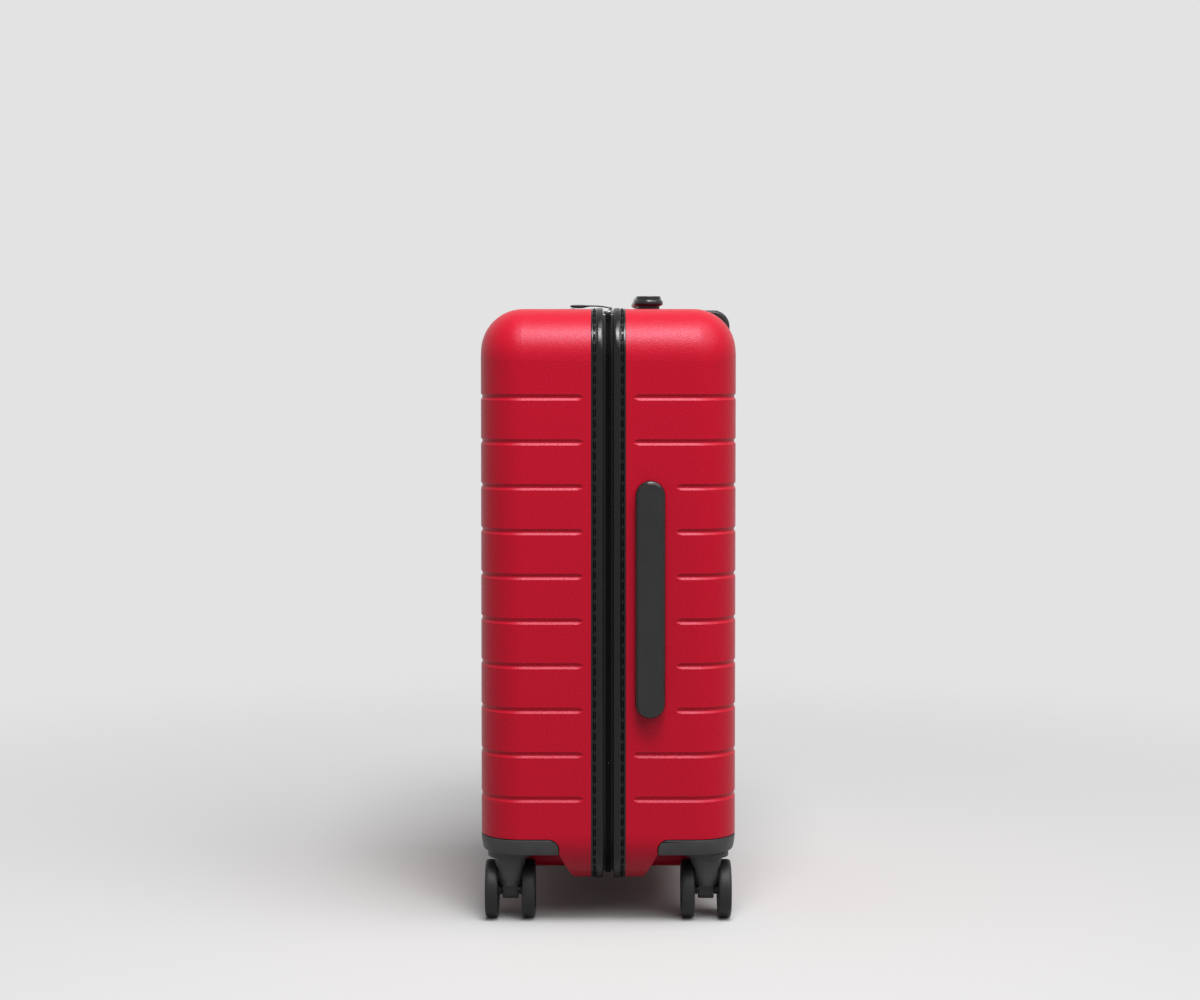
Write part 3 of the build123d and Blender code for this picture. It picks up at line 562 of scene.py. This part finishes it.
def axes(origin, x_axis, z_axis):
    """Matrix of a place with its own x and z axes."""
    x_axis = Vector(x_axis)
    z_axis = Vector(z_axis)
    columns = [x_axis, z_axis.cross(x_axis), z_axis, Vector(origin)]
    return Matrix([[*(column[row] for column in columns)] for row in range(3)] + [[0, 0, 0, 1]])


# Outlines and solids that several pieces share

def arc_turns(start, end, steps):
    """Angles from a start to an end in even steps, both included."""
    return [start + (end - start) * step / steps for step in range(steps + 1)]


def circle_turns(steps):
    """Angles of a full circle in even steps."""
    return [2 * pi * step / steps for step in range(steps)]


def rounded_outline(half_x, half_y, radius, steps=6):
    """Points of a rounded rectangle about its middle, in order round it."""
    points = []
    for corner, (side_x, side_y) in enumerate(CORNERS):
        for turn in arc_turns(corner * pi / 2, (corner + 1) * pi / 2, steps):
            x = side_x * (half_x - radius) + radius * cos(turn)
            y = side_y * (half_y - radius) + radius * sin(turn)
            points.append((x, y))
    return points


def slot_outline(length, width, inset, steps=14):
    """Points of a straight slot with round ends, set in evenly."""
    reach = (length - width) / 2
    radius = width / 2 - inset
    points = []
    for side, start in ((1, -pi / 2), (-1, pi / 2)):
        for turn in arc_turns(start, start + pi, steps):
            points.append((side * reach + radius * cos(turn), radius * sin(turn)))
    return points


def layered(place, levels):
    """Closed solid through outlines at heights, put in place by a matrix."""
    return loft([[place @ Vector((x, y, height)) for x, y in outline] for outline, height in levels])


def soft_block(place, half_x, half_y, low, high, radius, edge, steps=3):
    """Block with rounded upright corners and soft top and bottom edges."""
    bottom = []
    top = []
    for turn in arc_turns(0, pi / 2, steps):
        inset = edge * (1 - sin(turn))
        rise = edge * (1 - cos(turn))
        outline = rounded_outline(half_x - inset, half_y - inset, max(radius - inset, 0.2 * edge))
        bottom.append((outline, low + rise))
        top.append((outline, high - rise))
    return layered(place, bottom + top[::-1])


def spun(place, levels, closed=False):
    """Solid about a matrix's own z axis, from levels of (radii all round it, height along it)."""
    rings = []
    for radii, height in levels:
        ways = zip(radii, circle_turns(len(radii)))
        rings.append([place @ Vector((out * cos(turn), out * sin(turn), height)) for out, turn in ways])
    return loft(rings, closed)


def turned(place, profile, steps, closed=False):
    """Round solid about a matrix's own z axis, from points (radius, height along it)."""
    return spun(place, [([radius] * steps, height) for radius, height in profile], closed)


def mirrored(half, middle=0.0):
    """Section of points (radius, height), from its half below a middle height."""
    return half + [(radius, 2 * middle - height) for radius, height in reversed(half)]


# Rim path

top_run = half_width - corner_radius
side_run = shell_height - 2 * corner_radius
corner_arc = pi / 2 * corner_radius
round_side = [(corner_arc, True), (side_run, False), (corner_arc, True)]
rim_runs = [(top_run, False), *round_side, (2 * top_run, False), *round_side, (top_run, False)]
rim_length = sum(length for length, bends in rim_runs)
hinge_start = 3 * top_run + 3 * corner_arc + side_run
hinge_end = hinge_start + side_run


def rim_station(distance):
    """Point on the rim and the way out of it, a distance along it from the top's middle."""
    left = distance % rim_length
    point = Vector((0, 0, shell_top))
    heading = 0.0
    for length, bends in rim_runs:
        part = min(left, length)
        if bends:
            centre = point - corner_radius * Vector((-sin(heading), 0, cos(heading)))
            heading -= part / corner_radius
            point = centre + corner_radius * Vector((-sin(heading), 0, cos(heading)))
        else:
            point = point + part * Vector((cos(heading), 0, sin(heading)))
        left -= part
        if left <= 0:
            break
    return point, Vector((-sin(heading), 0, cos(heading)))


def rim_marks(start, end):
    """Distances along the rim for the rings of a sweep, closer on the corners."""
    marks = []
    reached = -rim_length
    for length, bends in rim_runs + rim_runs:
        steps = corner_rings if bends else ceil(length / ring_spacing)
        marks.extend(reached + length * step / steps for step in range(steps))
        reached += length
    inside = [mark for mark in marks if start + TINY < mark < end - TINY]
    return [start, *inside, end]


def rim_ring(distance, profile, side):
    """Points (from the parting plane, over the shell's surface) at one place on the rim."""
    point, outward = rim_station(distance)
    return [point + up * outward + Vector((0, side * across, 0)) for across, up in profile]


# Rim bindings: a sewn flange and a round bead along the zip

def binding_profile():
    """Closed section of a binding."""
    points = [(binding_reach, flange_under)]
    for turn in arc_turns(0, pi / 2, steps=3):
        across = binding_reach - flange_corner * (1 - cos(turn))
        points.append((across, flange_proud - flange_corner * (1 - sin(turn))))
    for shift, depth in ((1.5, 0), (0.8, 1), (-0.8, 1), (-1.5, 0)):
        points.append((channel_at + shift * channel_half, flange_proud - depth * channel_depth))
    for turn in arc_turns(bead_start, pi, bead_steps):
        out = copysign(abs(cos(turn)) ** bead_fullness, cos(turn))
        up = max(sin(turn), 0.0) ** bead_fullness
        points.append((bead_gap + bead_half + bead_half * out, bead_proud - bead_rise * (1 - up)))
    points.extend([(bead_gap, -tape_drop), (rim_edge, -tape_drop), (rim_edge, flange_under)])
    return points


def sewn_row(side):
    """Row of single stitches lying in a binding's channel."""
    count = round(rim_length / stitch_pitch)
    parts = []
    for index in range(count):
        middle = rim_length * index / count
        rings = []
        for along, size, sink in stitch_spans:
            height = flange_proud - channel_depth + stitch_lift - sink * stitch_half
            radius = size * stitch_half
            section = [
                (channel_at + radius * cos(turn), height + radius * sin(turn)) for turn in circle_turns(6)
            ]
            rings.append(rim_ring(middle + along * stitch_length / 2, section, side))
        parts.append(loft(rings))
    return gather(parts)


for front, side in SIDES.items():
    rings = [rim_ring(mark, binding_profile(), side) for mark in rim_marks(0.0, rim_length)[:-1]]
    solid = loft(rings, closed=True)
    piece(f"{front}_rim_binding", solid, "binding_black", BODIES[front], f"{front}_binding")
    row = sewn_row(side)
    piece(f"{front}_binding_stitches", row, "binding_black", BODIES[front], material=thread_black)


# Zip: two woven tapes with moulded teeth that mesh

def tape_profile():
    """Closed section of a zip tape, with a rib beside its teeth."""
    rib = tooth_root + rib_gap
    top = -tape_drop - tape_rib
    under = -tape_drop - tape_thickness
    return [
        (tape_edge, under),
        (tape_edge, top),
        (rib, top),
        (rib + rib_slope, -tape_drop),
        (rib + rib_width - rib_slope, -tape_drop),
        (rib + rib_width, top),
        (rim_edge, top),
        (rim_edge, under),
    ]


def tooth_row(side, start, end):
    """Row of zip teeth; the back row stands half a pitch on from the front row."""
    middle = -tape_drop + tooth_height / 2
    parts = []
    for index in range(int((end - start) / tooth_pitch)):
        at = start + (index + 0.5 + 0.25 * side) * tooth_pitch
        rings = []
        for across, size in tooth_spans:
            ring = []
            for turn in circle_turns(6):
                up = middle + size * tooth_height / 2 * sin(turn)
                ring.extend(rim_ring(at + size * tooth_half * cos(turn), [(across, up)], side))
            rings.append(ring)
        parts.append(loft(rings))
    return gather(parts)


for front, side in SIDES.items():
    first = hinge_end - rim_length
    tape = loft([rim_ring(mark, tape_profile(), side) for mark in rim_marks(first, hinge_start)])
    piece(f"{front}_zip_weave", tape, "zip_black", BODIES[front], f"{front}_zip_tape")
    teeth = tooth_row(side, first, hinge_start)
    piece(f"{front}_zip_teeth", teeth, "zip_black", BODIES[front], material=thread_black)


# Hinge web: one strip between the halves

def web_strip():
    """Thin closed strip, cut finely into rows and columns."""
    spots = [-bead_gap + 2 * bead_gap * step / web_columns for step in range(web_columns + 1)]
    rings = []
    for row in range(web_rows + 1):
        height = web_low.z + (web_high.z - web_low.z) * row / web_rows
        outer = [Vector((web_low.x, spot, height)) for spot in spots]
        inner = [Vector((web_high.x, spot, height)) for spot in reversed(spots)]
        rings.append(outer + inner)
    return loft(rings)


web = piece("hinge_web", web_strip(), "web_black", None, "front_hinge_web", "back_hinge_web")
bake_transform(web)


# Carry handles: a round lip under a narrower plate, on two stems with feet

def grip_levels():
    """Pairs (inset, rise) up a grip: recess for its base, rolled lip and eased plate."""
    levels = [(recess_inset, 0.0), (recess_inset, -lip_drop)]
    for turn in arc_turns(0, pi / 2, steps=6):
        levels.append((lip_inset * (1 - sin(turn)), lip_middle - (lip_middle + lip_drop) * cos(turn)))
    for turn in arc_turns(0, lip_sweep, steps=8)[1:]:
        levels.append((lip_inset * (1 - cos(turn)), lip_middle + lip_height * sin(turn)))
    for turn in arc_turns(0, pi / 2, steps=4):
        inset = plate_inset + plate_edge * (1 - cos(turn))
        levels.append((inset, grip_height - plate_edge * (1 - sin(turn))))
    return [*levels, (0.5 * grip_core, grip_height), (grip_core, grip_height)]


def carry_handle(place):
    """Grip with its stems and feet: x along it and z out of the shell."""
    levels = [
        (slot_outline(handle_length, handle_width, inset), handle_under + rise)
        for inset, rise in grip_levels()
    ]
    parts = [layered(place, levels)]
    low = stem_low + stem_overlap
    high = handle_under + stem_overlap
    foot_top = stem_low + foot_height
    for side in (-1, 1):
        stem = place @ Matrix.Translation((side * stem_at, 0, 0))
        parts.append(soft_block(stem, *stem_half, low, high, stem_corner, stem_edge))
        parts.append(soft_block(stem, *foot_half, stem_low, foot_top, stem_corner, foot_edge))
    return gather(parts)


handle_places = {
    "side": axes((half_width, handle_y, shell_mid), (0, 0, 1), (1, 0, 0)),
    "top": axes((0, handle_y, shell_top), (1, 0, 0), (0, 0, 1)),
}
for name, place in handle_places.items():
    grip = carry_handle(place)
    piece(f"{name}_handle_grip", grip, "handle_black", f"{name}_carry", f"{name}_handle", angle=50)


# Caster wheels: a soft tyre round a ribbed hub

def tyre_profile():
    """Pairs (radius, height) round a tyre's section, with full round shoulders."""
    half = [(tyre_bore, bore_chamfer), (tyre_bore + bore_chamfer, 0.0)]
    for turn in arc_turns(0, pi / 2, steps=5):
        radius = tyre_radius - shoulder_reach * (1 - sin(turn) ** shoulder_fullness)
        half.append((radius, shoulder_depth * (1 - cos(turn) ** shoulder_fullness)))
    return mirrored(half, tyre_width / 2)


def caster_wheel(name, body, outward):
    """Tyre and hub of one wheel, whose outer face looks out along Y."""
    low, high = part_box(name)
    middle = (low + high) / 2
    start = low.y if outward > 0 else high.y
    place = axes((middle.x, start, middle.z), (1, 0, 0), (0, outward, 0))
    tyre = turned(place, tyre_profile(), steps=72, closed=True)
    piece(f"{name}_tyre", tyre, "wheel_black", body, name, angle=50)
    parts = [turned(place, hub_profile, steps=56, closed=True)]
    for turn in circle_turns(spoke_count):
        rib = place @ Matrix.Rotation(turn, 4, "Z") @ Matrix.Translation((spoke_middle, 0, 0))
        parts.append(soft_block(rib, *spoke_block))
    piece(f"{name}_hub", gather(parts), "wheel_black", body, material=hub_black)


for front, side in SIDES.items():
    for corner in ("left", "right"):
        caster = f"{front}_{corner}"
        caster_wheel(f"{caster}_outer_wheel", f"{caster}_outer_roll", side)
        caster_wheel(f"{caster}_inner_wheel", f"{caster}_inner_roll", -side)


# Zip sliders with an eye, and arched pulls that end in a thick tab

def eye_lug(place, at):
    """Upright ear of a slider, round at the top."""
    outline = [(eye_radius * cos(turn), eye_radius * sin(turn)) for turn in arc_turns(0, pi, steps=12)]
    outline.extend([(-eye_radius, -lug_depth), (eye_radius, -lug_depth)])
    return layered(place, [(outline, at - lug_half), (outline, at + lug_half)])


def slider_body(low, high, eye):
    """Two plates with a waist between them, two ears and a pin."""
    middle = (low + high) / 2
    half = (high - low) / 2
    base = axes((middle.x, middle.y, low.z), (1, 0, 0), (0, 0, 1))
    levels = [
        (rounded_outline(half.x - inset, half.y - inset, slider_corner), rise)
        for inset, rise in slider_levels
    ]
    lug_at = eye_half + lug_gap + lug_half
    pin_reach = lug_at + lug_half
    parts = [layered(base, levels), eye_lug(eye, -lug_at), eye_lug(eye, lug_at)]
    parts.append(turned(eye, [(pin_radius, -pin_reach), (pin_radius, pin_reach)], steps=16))
    return gather(parts)


def pull_arm(eye):
    """Bent strip from the eye to the tab."""
    rings = []
    for along, rise, half, thick in arm_stations:
        outline = rounded_outline(half, thick, 0.8 * thick, steps=3)
        rings.append([eye @ Vector((along, rise + up, across)) for across, up in outline])
    return loft(rings)


def zip_pull(eye):
    """Barrel that turns on the slider's pin, with its arm."""
    half = [(eye_bore, -eye_half), (eye_radius - eye_edge, -eye_half), (eye_radius, eye_edge - eye_half)]
    return gather([turned(eye, mirrored(half), steps=28, closed=True), pull_arm(eye)])


for side in ("left", "right"):
    replaced = f"{side}_zip_slider"
    low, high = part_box(replaced)
    eye = axes(((low.x + high.x) / 2, high.y - eye_radius, high.z - eye_radius), (0, 1, 0), (1, 0, 0))
    solid = slider_body(low, high, eye)
    piece(f"{side}_slider_body", solid, "zip_metal", f"{side}_slider", replaced, material=slider_metal)
    piece(f"{side}_pull_tab", zip_pull(eye), "zip_metal", f"{side}_pull", f"{side}_zip_pull")


# Linings: thin cloth drawn over the walls and what is fixed to them

# Nodes that the cloth lies on, its own solid first
hidden_behind = {
    "front": ["front_lining", "lock_body", "front_left_housing", "front_right_housing"],
    "back": [
        "back_lining", "side_handle_retainers", "top_handle_retainers", "trolley_outer_tubes",
        "trolley_foot", "trolley_cup", "back_left_housing", "back_right_housing", "back_screws",
    ],
}


def tray_outline(half_x, half_z, radius):
    """Points of a rounded rectangle with its straight runs cut up too."""
    arcs = []
    for corner, (side_x, side_z) in enumerate(CORNERS):
        middle = Vector((side_x * (half_x - radius), side_z * (half_z - radius)))
        turns = [pi / 2 * (corner + step / tray_corner_steps) for step in range(tray_corner_steps + 1)]
        arcs.append([middle + radius * Vector((cos(turn), sin(turn))) for turn in turns])
    points = []
    for index, arc in enumerate(arcs):
        steps = tray_steps[index % 2]
        after = arcs[(index + 1) % 4][0]
        points.extend(arc)
        points.extend(arc[-1].lerp(after, step / steps) for step in range(1, steps))
    return points


def tray_levels():
    """Pairs (inset, depth) from the mouth down the wall, round the edge and over the floor."""
    wall_end = lining_floor - lining_round
    wall = wall_end - lining_mouth
    levels = [(lining_inset, lining_mouth + wall * step / wall_steps) for step in range(wall_steps)]
    for turn in arc_turns(0, pi / 2, round_steps):
        inset = lining_inset + lining_round * (1 - cos(turn))
        levels.append((inset, wall_end + lining_round * sin(turn)))
    start = lining_inset + lining_round
    end = half_width - floor_middle
    for step in range(1, floor_steps + 1):
        levels.append((start + (end - start) * step / floor_steps, lining_floor))
    return levels


def node_surface(names):
    """Search tree over the faces of several nodes together."""
    parts = []
    for name in names:
        source = nodes[name]
        verts = [source.matrix_world @ vert.co for vert in source.data.vertices]
        parts.append((verts, [tuple(polygon.vertices) for polygon in source.data.polygons]))
    return BVHTree.FromPolygons(*gather(parts))


def drawn_cloth(front, side):
    """Rings of a lining's points, as far out as the fixings let it go, and the ways in."""
    surface = node_surface(hidden_behind[front])
    own_faces = len(nodes[f"{front}_lining"].data.polygons)
    rings = []
    inward = []
    for inset, depth in tray_levels():
        radius = max(corner_radius - inset, least_corner)
        ring = []
        ways = []
        for x, up in tray_outline(half_width - inset, shell_height / 2 - inset, radius):
            outer = Vector((x, side * depth, shell_mid + up))
            inner = Vector((draw_x * x, side * draw_depth, shell_mid + draw_up * up))
            reach = (outer - inner).length
            way = (outer - inner) / reach
            hit, _, face, _ = surface.ray_cast(inner, way, reach + draw_past)
            on_fixing = hit is not None and face >= own_faces
            ring.append((hit or outer) + (-fixing_lift if on_fixing else lining_sink) * way)
            ways.append(-way)
        rings.append(ring)
        inward.append(ways)
    return rings, inward


def slack(point):
    """How far the cloth stands off the wall here, in soft folds."""
    broad = noise.noise(point * broad_scale)
    fine = noise.noise(point * fine_scale + fine_shift)
    return max(fold_share + broad_share * broad + fine_share * fine, 0.0) * fold_depth


def lining_cloth(rings, inward):
    """Closed thin cloth: drawn side, seen side and the hem that joins them."""
    seen = [
        [point + (slack(point) + cloth_thickness) * way for point, way in zip(ring, ways)]
        for ring, ways in zip(rings, inward)
    ]
    return loft(seen[::-1] + rings)


def piping_ring(side):
    """Round cord sewn along a lining's mouth."""
    inset = lining_inset + cloth_thickness + piping_radius
    depth = side * (lining_mouth + piping_radius)
    outline = tray_outline(half_width - inset, shell_height / 2 - inset, corner_radius - inset)
    rings = []
    for index, point in enumerate(outline):
        ahead = (outline[(index + 1) % len(outline)] - outline[index - 1]).normalized()
        out = Vector((ahead.y, 0, -ahead.x))
        centre = Vector((point.x, depth, shell_mid + point.y))
        ways = [cos(turn) * out + Vector((0, sin(turn), 0)) for turn in circle_turns(8)]
        rings.append([centre + piping_radius * way for way in ways])
    return loft(rings, closed=True)


for front, side in SIDES.items():
    solid = lining_cloth(*drawn_cloth(front, side))
    replaced = f"{front}_lining"
    cloth = piece(f"{front}_lining_cloth", solid, "lining_grey", BODIES[front], replaced, angle=70)
    piece(f"{front}_lining_piping", piping_ring(side), "binding_black", BODIES[front])


# Packing straps: woven arms, a sewn patch on each side and a buckle

out_of_back = Vector((0, 1, 0))


def ribbon(start, end, half, raise_start, raise_end, bow=0.0, steps=22):
    """Flat woven strip between two points, standing off the back by a changing amount."""
    across = (end - start).normalized().cross(out_of_back)
    section = rounded_outline(half, strap_thickness / 2, 0.4 * strap_thickness, steps=2)
    rings = []
    for step in range(steps + 1):
        share = step / steps
        stand = raise_start + (raise_end - raise_start) * share + bow * sin(pi * share)
        middle = start.lerp(end, share) - (stand + strap_thickness / 2) * out_of_back
        rings.append([middle + wide * across - thick * out_of_back for wide, thick in section])
    return loft(rings)


def sewing_stitch(centre, way):
    """One stitch of a sewn line that runs a given way."""
    side_way = way.cross(out_of_back)
    rings = []
    for at, size in ((-1.0, 0.3), (-0.6, 1.0), (0.6, 1.0), (1.0, 0.3)):
        spot = centre + at * sewing_reach * way
        ways = [cos(turn) * side_way + 0.5 * sin(turn) * out_of_back for turn in circle_turns(6)]
        rings.append([spot + size * sewing_half * towards for towards in ways])
    return loft(rings)


def sewn_box(middle, along, half_long, half_wide, stand):
    """Box of stitches with a cross in it, lying on a strap."""
    across = along.cross(out_of_back)
    corners = [
        middle + long * half_long * along + wide * half_wide * across - stand * out_of_back
        for long, wide in CORNERS
    ]
    parts = []
    for first, second in ((0, 1), (1, 2), (2, 3), (3, 0), (0, 2), (1, 3)):
        span = corners[second] - corners[first]
        count = max(2, round(span.length / sewing_pitch))
        for index in range(count):
            centre = corners[first] + span * (index + 0.5) / count
            parts.append(sewing_stitch(centre, span.normalized()))
    return parts


def strap_arm(side, rise):
    """Webs and stitches of one arm, from the buckle out to a folded hem at the wall."""
    start = Vector((side * arm_start, strap_back, shell_mid + rise * arm_start_rise))
    end = Vector((side * arm_end, strap_back, shell_mid + rise * arm_end_rise))
    along = (end - start).normalized()
    hem = end - hem_length * along
    hem_end = end - hem_short * along
    lift = 0.0 if rise > 0 else strap_thickness
    webs = [
        ribbon(start, end, strap_half, lift, 0.0, strap_bow),
        ribbon(hem, hem_end, strap_half - hem_inset, hem_stand, strap_thickness),
    ]
    return webs, sewn_box(end - 0.5 * hem_length * along, along, *hem_box, hem_box_stand)


def strap_patch(side):
    """Web and stitches of the patch that joins two arms to a half of the buckle."""
    start, end, middle = (
        Vector((side * x, strap_back, shell_mid)) for x in (patch_start, patch_end, patch_box_at)
    )
    web = ribbon(start, end, patch_half, patch_stand, patch_stand)
    return [web], sewn_box(middle, Vector((1, 0, 0)), *patch_box, patch_stand + strap_thickness)


def strap_buckle():
    """Side-release buckle: a half with ribbed thumb pads and a socket with crossbars."""
    face = axes((0, buckle_high.y, shell_mid), (1, 0, 0), (0, -1, 0))
    blocks = list(buckle_blocks)
    for across in (-thumb_across, thumb_across):
        for index in range(thumb_ribs):
            blocks.append((thumb_first + index * thumb_pitch, across, *thumb_block))
    parts = []
    for x, across, *sizes in blocks:
        parts.append(soft_block(face @ Matrix.Translation((x, across, 0)), *sizes))
    return gather(parts)


web_parts = []
sewn_parts = []
for side in (-1, 1):
    for webs, stitches in (strap_arm(side, -1), strap_arm(side, 1), strap_patch(side)):
        web_parts.extend(webs)
        sewn_parts.extend(stitches)
piece("packing_webs", gather(web_parts), "strap_black", "base", "packing_straps")
piece("packing_web_stitches", gather(sewn_parts), "strap_black", "base", material=thread_black)
piece("release_buckle", strap_buckle(), "trim_black", "base", "strap_buckle")


# Lock dials: knurled edges and a band of raised numerals

def dial_wheel(place):
    """Dial about a place's z axis, with four points to each knurl."""
    levels = []
    for radius, along in mirrored(dial_half):
        cut = knurl_depth if radius > dial_band else 0.0
        levels.append(([radius - cut, radius, radius, radius] * knurl_count, along))
    return spun(place, levels, closed=True)


def numeral_mesh(digit):
    """Vertices and faces of one numeral, upright and thin, about its middle."""
    curve = bpy.data.curves.new("numeral", "FONT")
    curve.body = str(digit)
    curve.size = numeral_size
    curve.align_x = "CENTER"
    curve.align_y = "CENTER"
    curve.extrude = numeral_rise
    curve.resolution_u = 3
    holder = bpy.data.objects.new("numeral", curve)
    mesh = bpy.data.meshes.new_from_object(holder)
    work = bmesh.new()
    work.from_mesh(mesh)
    bmesh.ops.remove_doubles(work, verts=work.verts, dist=TINY)
    work.verts.index_update()
    verts = [vert.co.copy() for vert in work.verts]
    faces = [tuple(vert.index for vert in face.verts) for face in work.faces]
    work.free()
    bpy.data.objects.remove(holder)
    bpy.data.curves.remove(curve)
    bpy.data.meshes.remove(mesh)
    return verts, faces


def numeral_band(middle):
    """The ten numerals round a dial."""
    parts = []
    for (verts, faces), turn in zip(numerals, circle_turns(len(numerals))):
        around = Matrix.Translation(middle) @ Matrix.Rotation(turn, 4, "X")
        place = around @ Matrix.Translation((0, 0, dial_band))
        parts.append(([place @ vert for vert in verts], faces))
    return gather(parts)


numerals = [numeral_mesh(digit) for digit in range(10)]
for index in (1, 2, 3):
    dial = f"dial_{index}"
    low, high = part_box(f"lock_{dial}")
    middle = (low + high) / 2
    wheel = dial_wheel(axes(middle, (0, 0, 1), (1, 0, 0)))
    piece(f"{dial}_wheel", wheel, "dial_black", dial, f"lock_{dial}")
    piece(f"{dial}_numerals", numeral_band(middle), "dial_black", dial, material=numeral_white)


# Screws: round heads with a cross recess

def cross_reach(turn, half_long, half_wide):
    """Distance to the outline of a plus sign in a direction."""
    across = max(abs(cos(turn)), TINY)
    up = max(abs(sin(turn)), TINY)
    long_x = min(half_long / across, half_wide / up)
    long_y = min(half_wide / across, half_long / up)
    return max(long_x, long_y)


def cross_screw(place, length):
    """Screw whose head's outer face is at the place, facing along its z axis."""
    end = -head_height - length
    shaft = [(tip_radius, end), (shaft_radius, end + tip_length), (shaft_radius, -head_height)]
    levels = [([radius] * screw_steps, height) for radius, height in shaft + head_profile]
    for sizes, height in ((cross_top, 0.0), (cross_floor, -cross_depth)):
        levels.append(([cross_reach(turn, *sizes) for turn in circle_turns(screw_steps)], height))
    return spun(place, levels)


def caster_screws(side):
    """Two screws beside each caster of one half, with their heads underneath."""
    parts = []
    for side_x in (-1, 1):
        for x, y in ((caster_x - screw_reach, caster_y), (caster_x, caster_y - screw_reach)):
            place = axes((side_x * x, side * y, screws_low.z), (1, 0, 0), (0, 0, -1))
            parts.append(cross_screw(place, caster_screw_length))
    return parts


def handle_screws():
    """Two screws in the base of each carry handle."""
    parts = []
    for place in handle_places.values():
        for along in (-1, 1):
            shift = Matrix.Translation((along * stem_at / 2, 0, handle_base_top))
            parts.append(cross_screw(place @ shift, handle_screw_length))
    return parts


for front, side in SIDES.items():
    screws = caster_screws(side) + (handle_screws() if front == "back" else [])
    piece(f"{front}_cross_screws", gather(screws), "steel", BODIES[front], f"{front}_screws")


# Materials and soft edges on the rigid nodes

def soften(made, width):
    """Softly rounded edges on a node, over flat faces that the import cut up."""
    made.data.attributes.remove(made.data.attributes["custom_normal"])
    made.modifiers.new("weld", "WELD").merge_threshold = weld_distance
    flat = made.modifiers.new("flat", "DECIMATE")
    flat.decimate_type = "DISSOLVE"
    flat.angle_limit = flat_angle
    edge = made.modifiers.new("edge", "BEVEL")
    edge.width = width
    edge.segments = 2
    edge.limit_method = "ANGLE"
    edge.angle_limit = sharp_angle
    edge.use_clamp_overlap = False
    made.modifiers.new("normals", "WEIGHTED_NORMAL")


for part in frame["record"]["subparts"]:
    node = nodes[part["node"]]
    slot = part["material_slot"]
    node.data.materials.clear()
    node.data.materials.append(materials[slot])
    if slot in soft_edges:
        soften(node, soft_edges[slot])


# Studio: pale floor and background, a broad soft key light and a softbox

def floor_finish():
    """Pale matt floor that throws little light back and fades out away from the case."""
    finish = Finish("floor", specular=0.1, roughness=0.9)
    grey = finish.math("MULTIPLY_ADD", eye_rays(finish.tree), floor_seen - floor_bounce, floor_bounce)
    finish.tree.links.new(grey, finish.shader.inputs["Base Color"])
    away = finish.node("ShaderNodeVectorMath", {0: finish.place}, operation="LENGTH").outputs["Value"]
    spread = {"Value": away, "From Min": floor_fade[0], "From Max": floor_fade[1]}
    fade = finish.node("ShaderNodeMapRange", spread, interpolation_type="SMOOTHSTEP").outputs[0]
    clear = finish.node("ShaderNodeBsdfTransparent", {}).outputs[0]
    mixed = finish.node("ShaderNodeMixShader", {0: fade, 1: finish.shader.outputs[0], 2: clear})
    finish.tree.links.new(mixed.outputs[0], finish.tree.nodes["Material Output"].inputs["Surface"])
    return finish.material


def make_floor():
    """Round floor under the case."""
    bpy.ops.mesh.primitive_circle_add(vertices=96, radius=floor_reach, fill_type="NGON")
    floor = bpy.context.object
    floor.name = "floor"
    floor.data.materials.append(floor_finish())


def make_world():
    """Pale to the eye, in mirrors and through clear parts, and weak as light."""
    world = bpy.data.worlds.new("studio")
    world.use_nodes = True
    tree = world.node_tree
    light = {"Color": (1.0, 1.0, 1.0, 1.0), "Strength": ambient}
    backdrop = {"Color": srgb(227, 227, 227), "Strength": 1.0}
    shaders = [add_node(tree, "ShaderNodeBackground", inputs).outputs[0] for inputs in (light, backdrop)]
    mixed = add_node(tree, "ShaderNodeMixShader", {0: eye_rays(tree), 1: shaders[0], 2: shaders[1]})
    tree.links.new(mixed.outputs[0], tree.nodes["World Output"].inputs["Surface"])
    bpy.context.scene.world = world


def make_light(name, kind, place, towards, **settings):
    """Lamp at a place, shining from the way towards it."""
    data = bpy.data.lights.new(name, kind)
    for setting, value in settings.items():
        setattr(data, setting, value)
    lamp = bpy.data.objects.new(name, data)
    lamp.location = place
    lamp.rotation_euler = towards.to_track_quat("Z", "Y").to_euler()
    bpy.context.scene.collection.objects.link(lamp)


def make_camera():
    """Camera square on the handle side, tilted down a little."""
    data = bpy.data.cameras.new("camera")
    data.lens = camera_lens
    data.shift_y = camera_shift
    camera = bpy.data.objects.new("camera", data)
    camera.location = camera_place
    camera.rotation_euler = (pi / 2 - camera_tilt, 0.0, pi / 2)
    bpy.context.scene.collection.objects.link(camera)
    bpy.context.scene.camera = camera


make_floor()
make_world()
make_light("key", "SUN", (0, 0, 0), key_towards, energy=key_strength, angle=key_spread)
make_light("softbox", "AREA", softbox_place, softbox_towards, energy=softbox_power, size=softbox_size)
make_camera()
bpy.context.scene.view_settings.view_transform = "Standard"
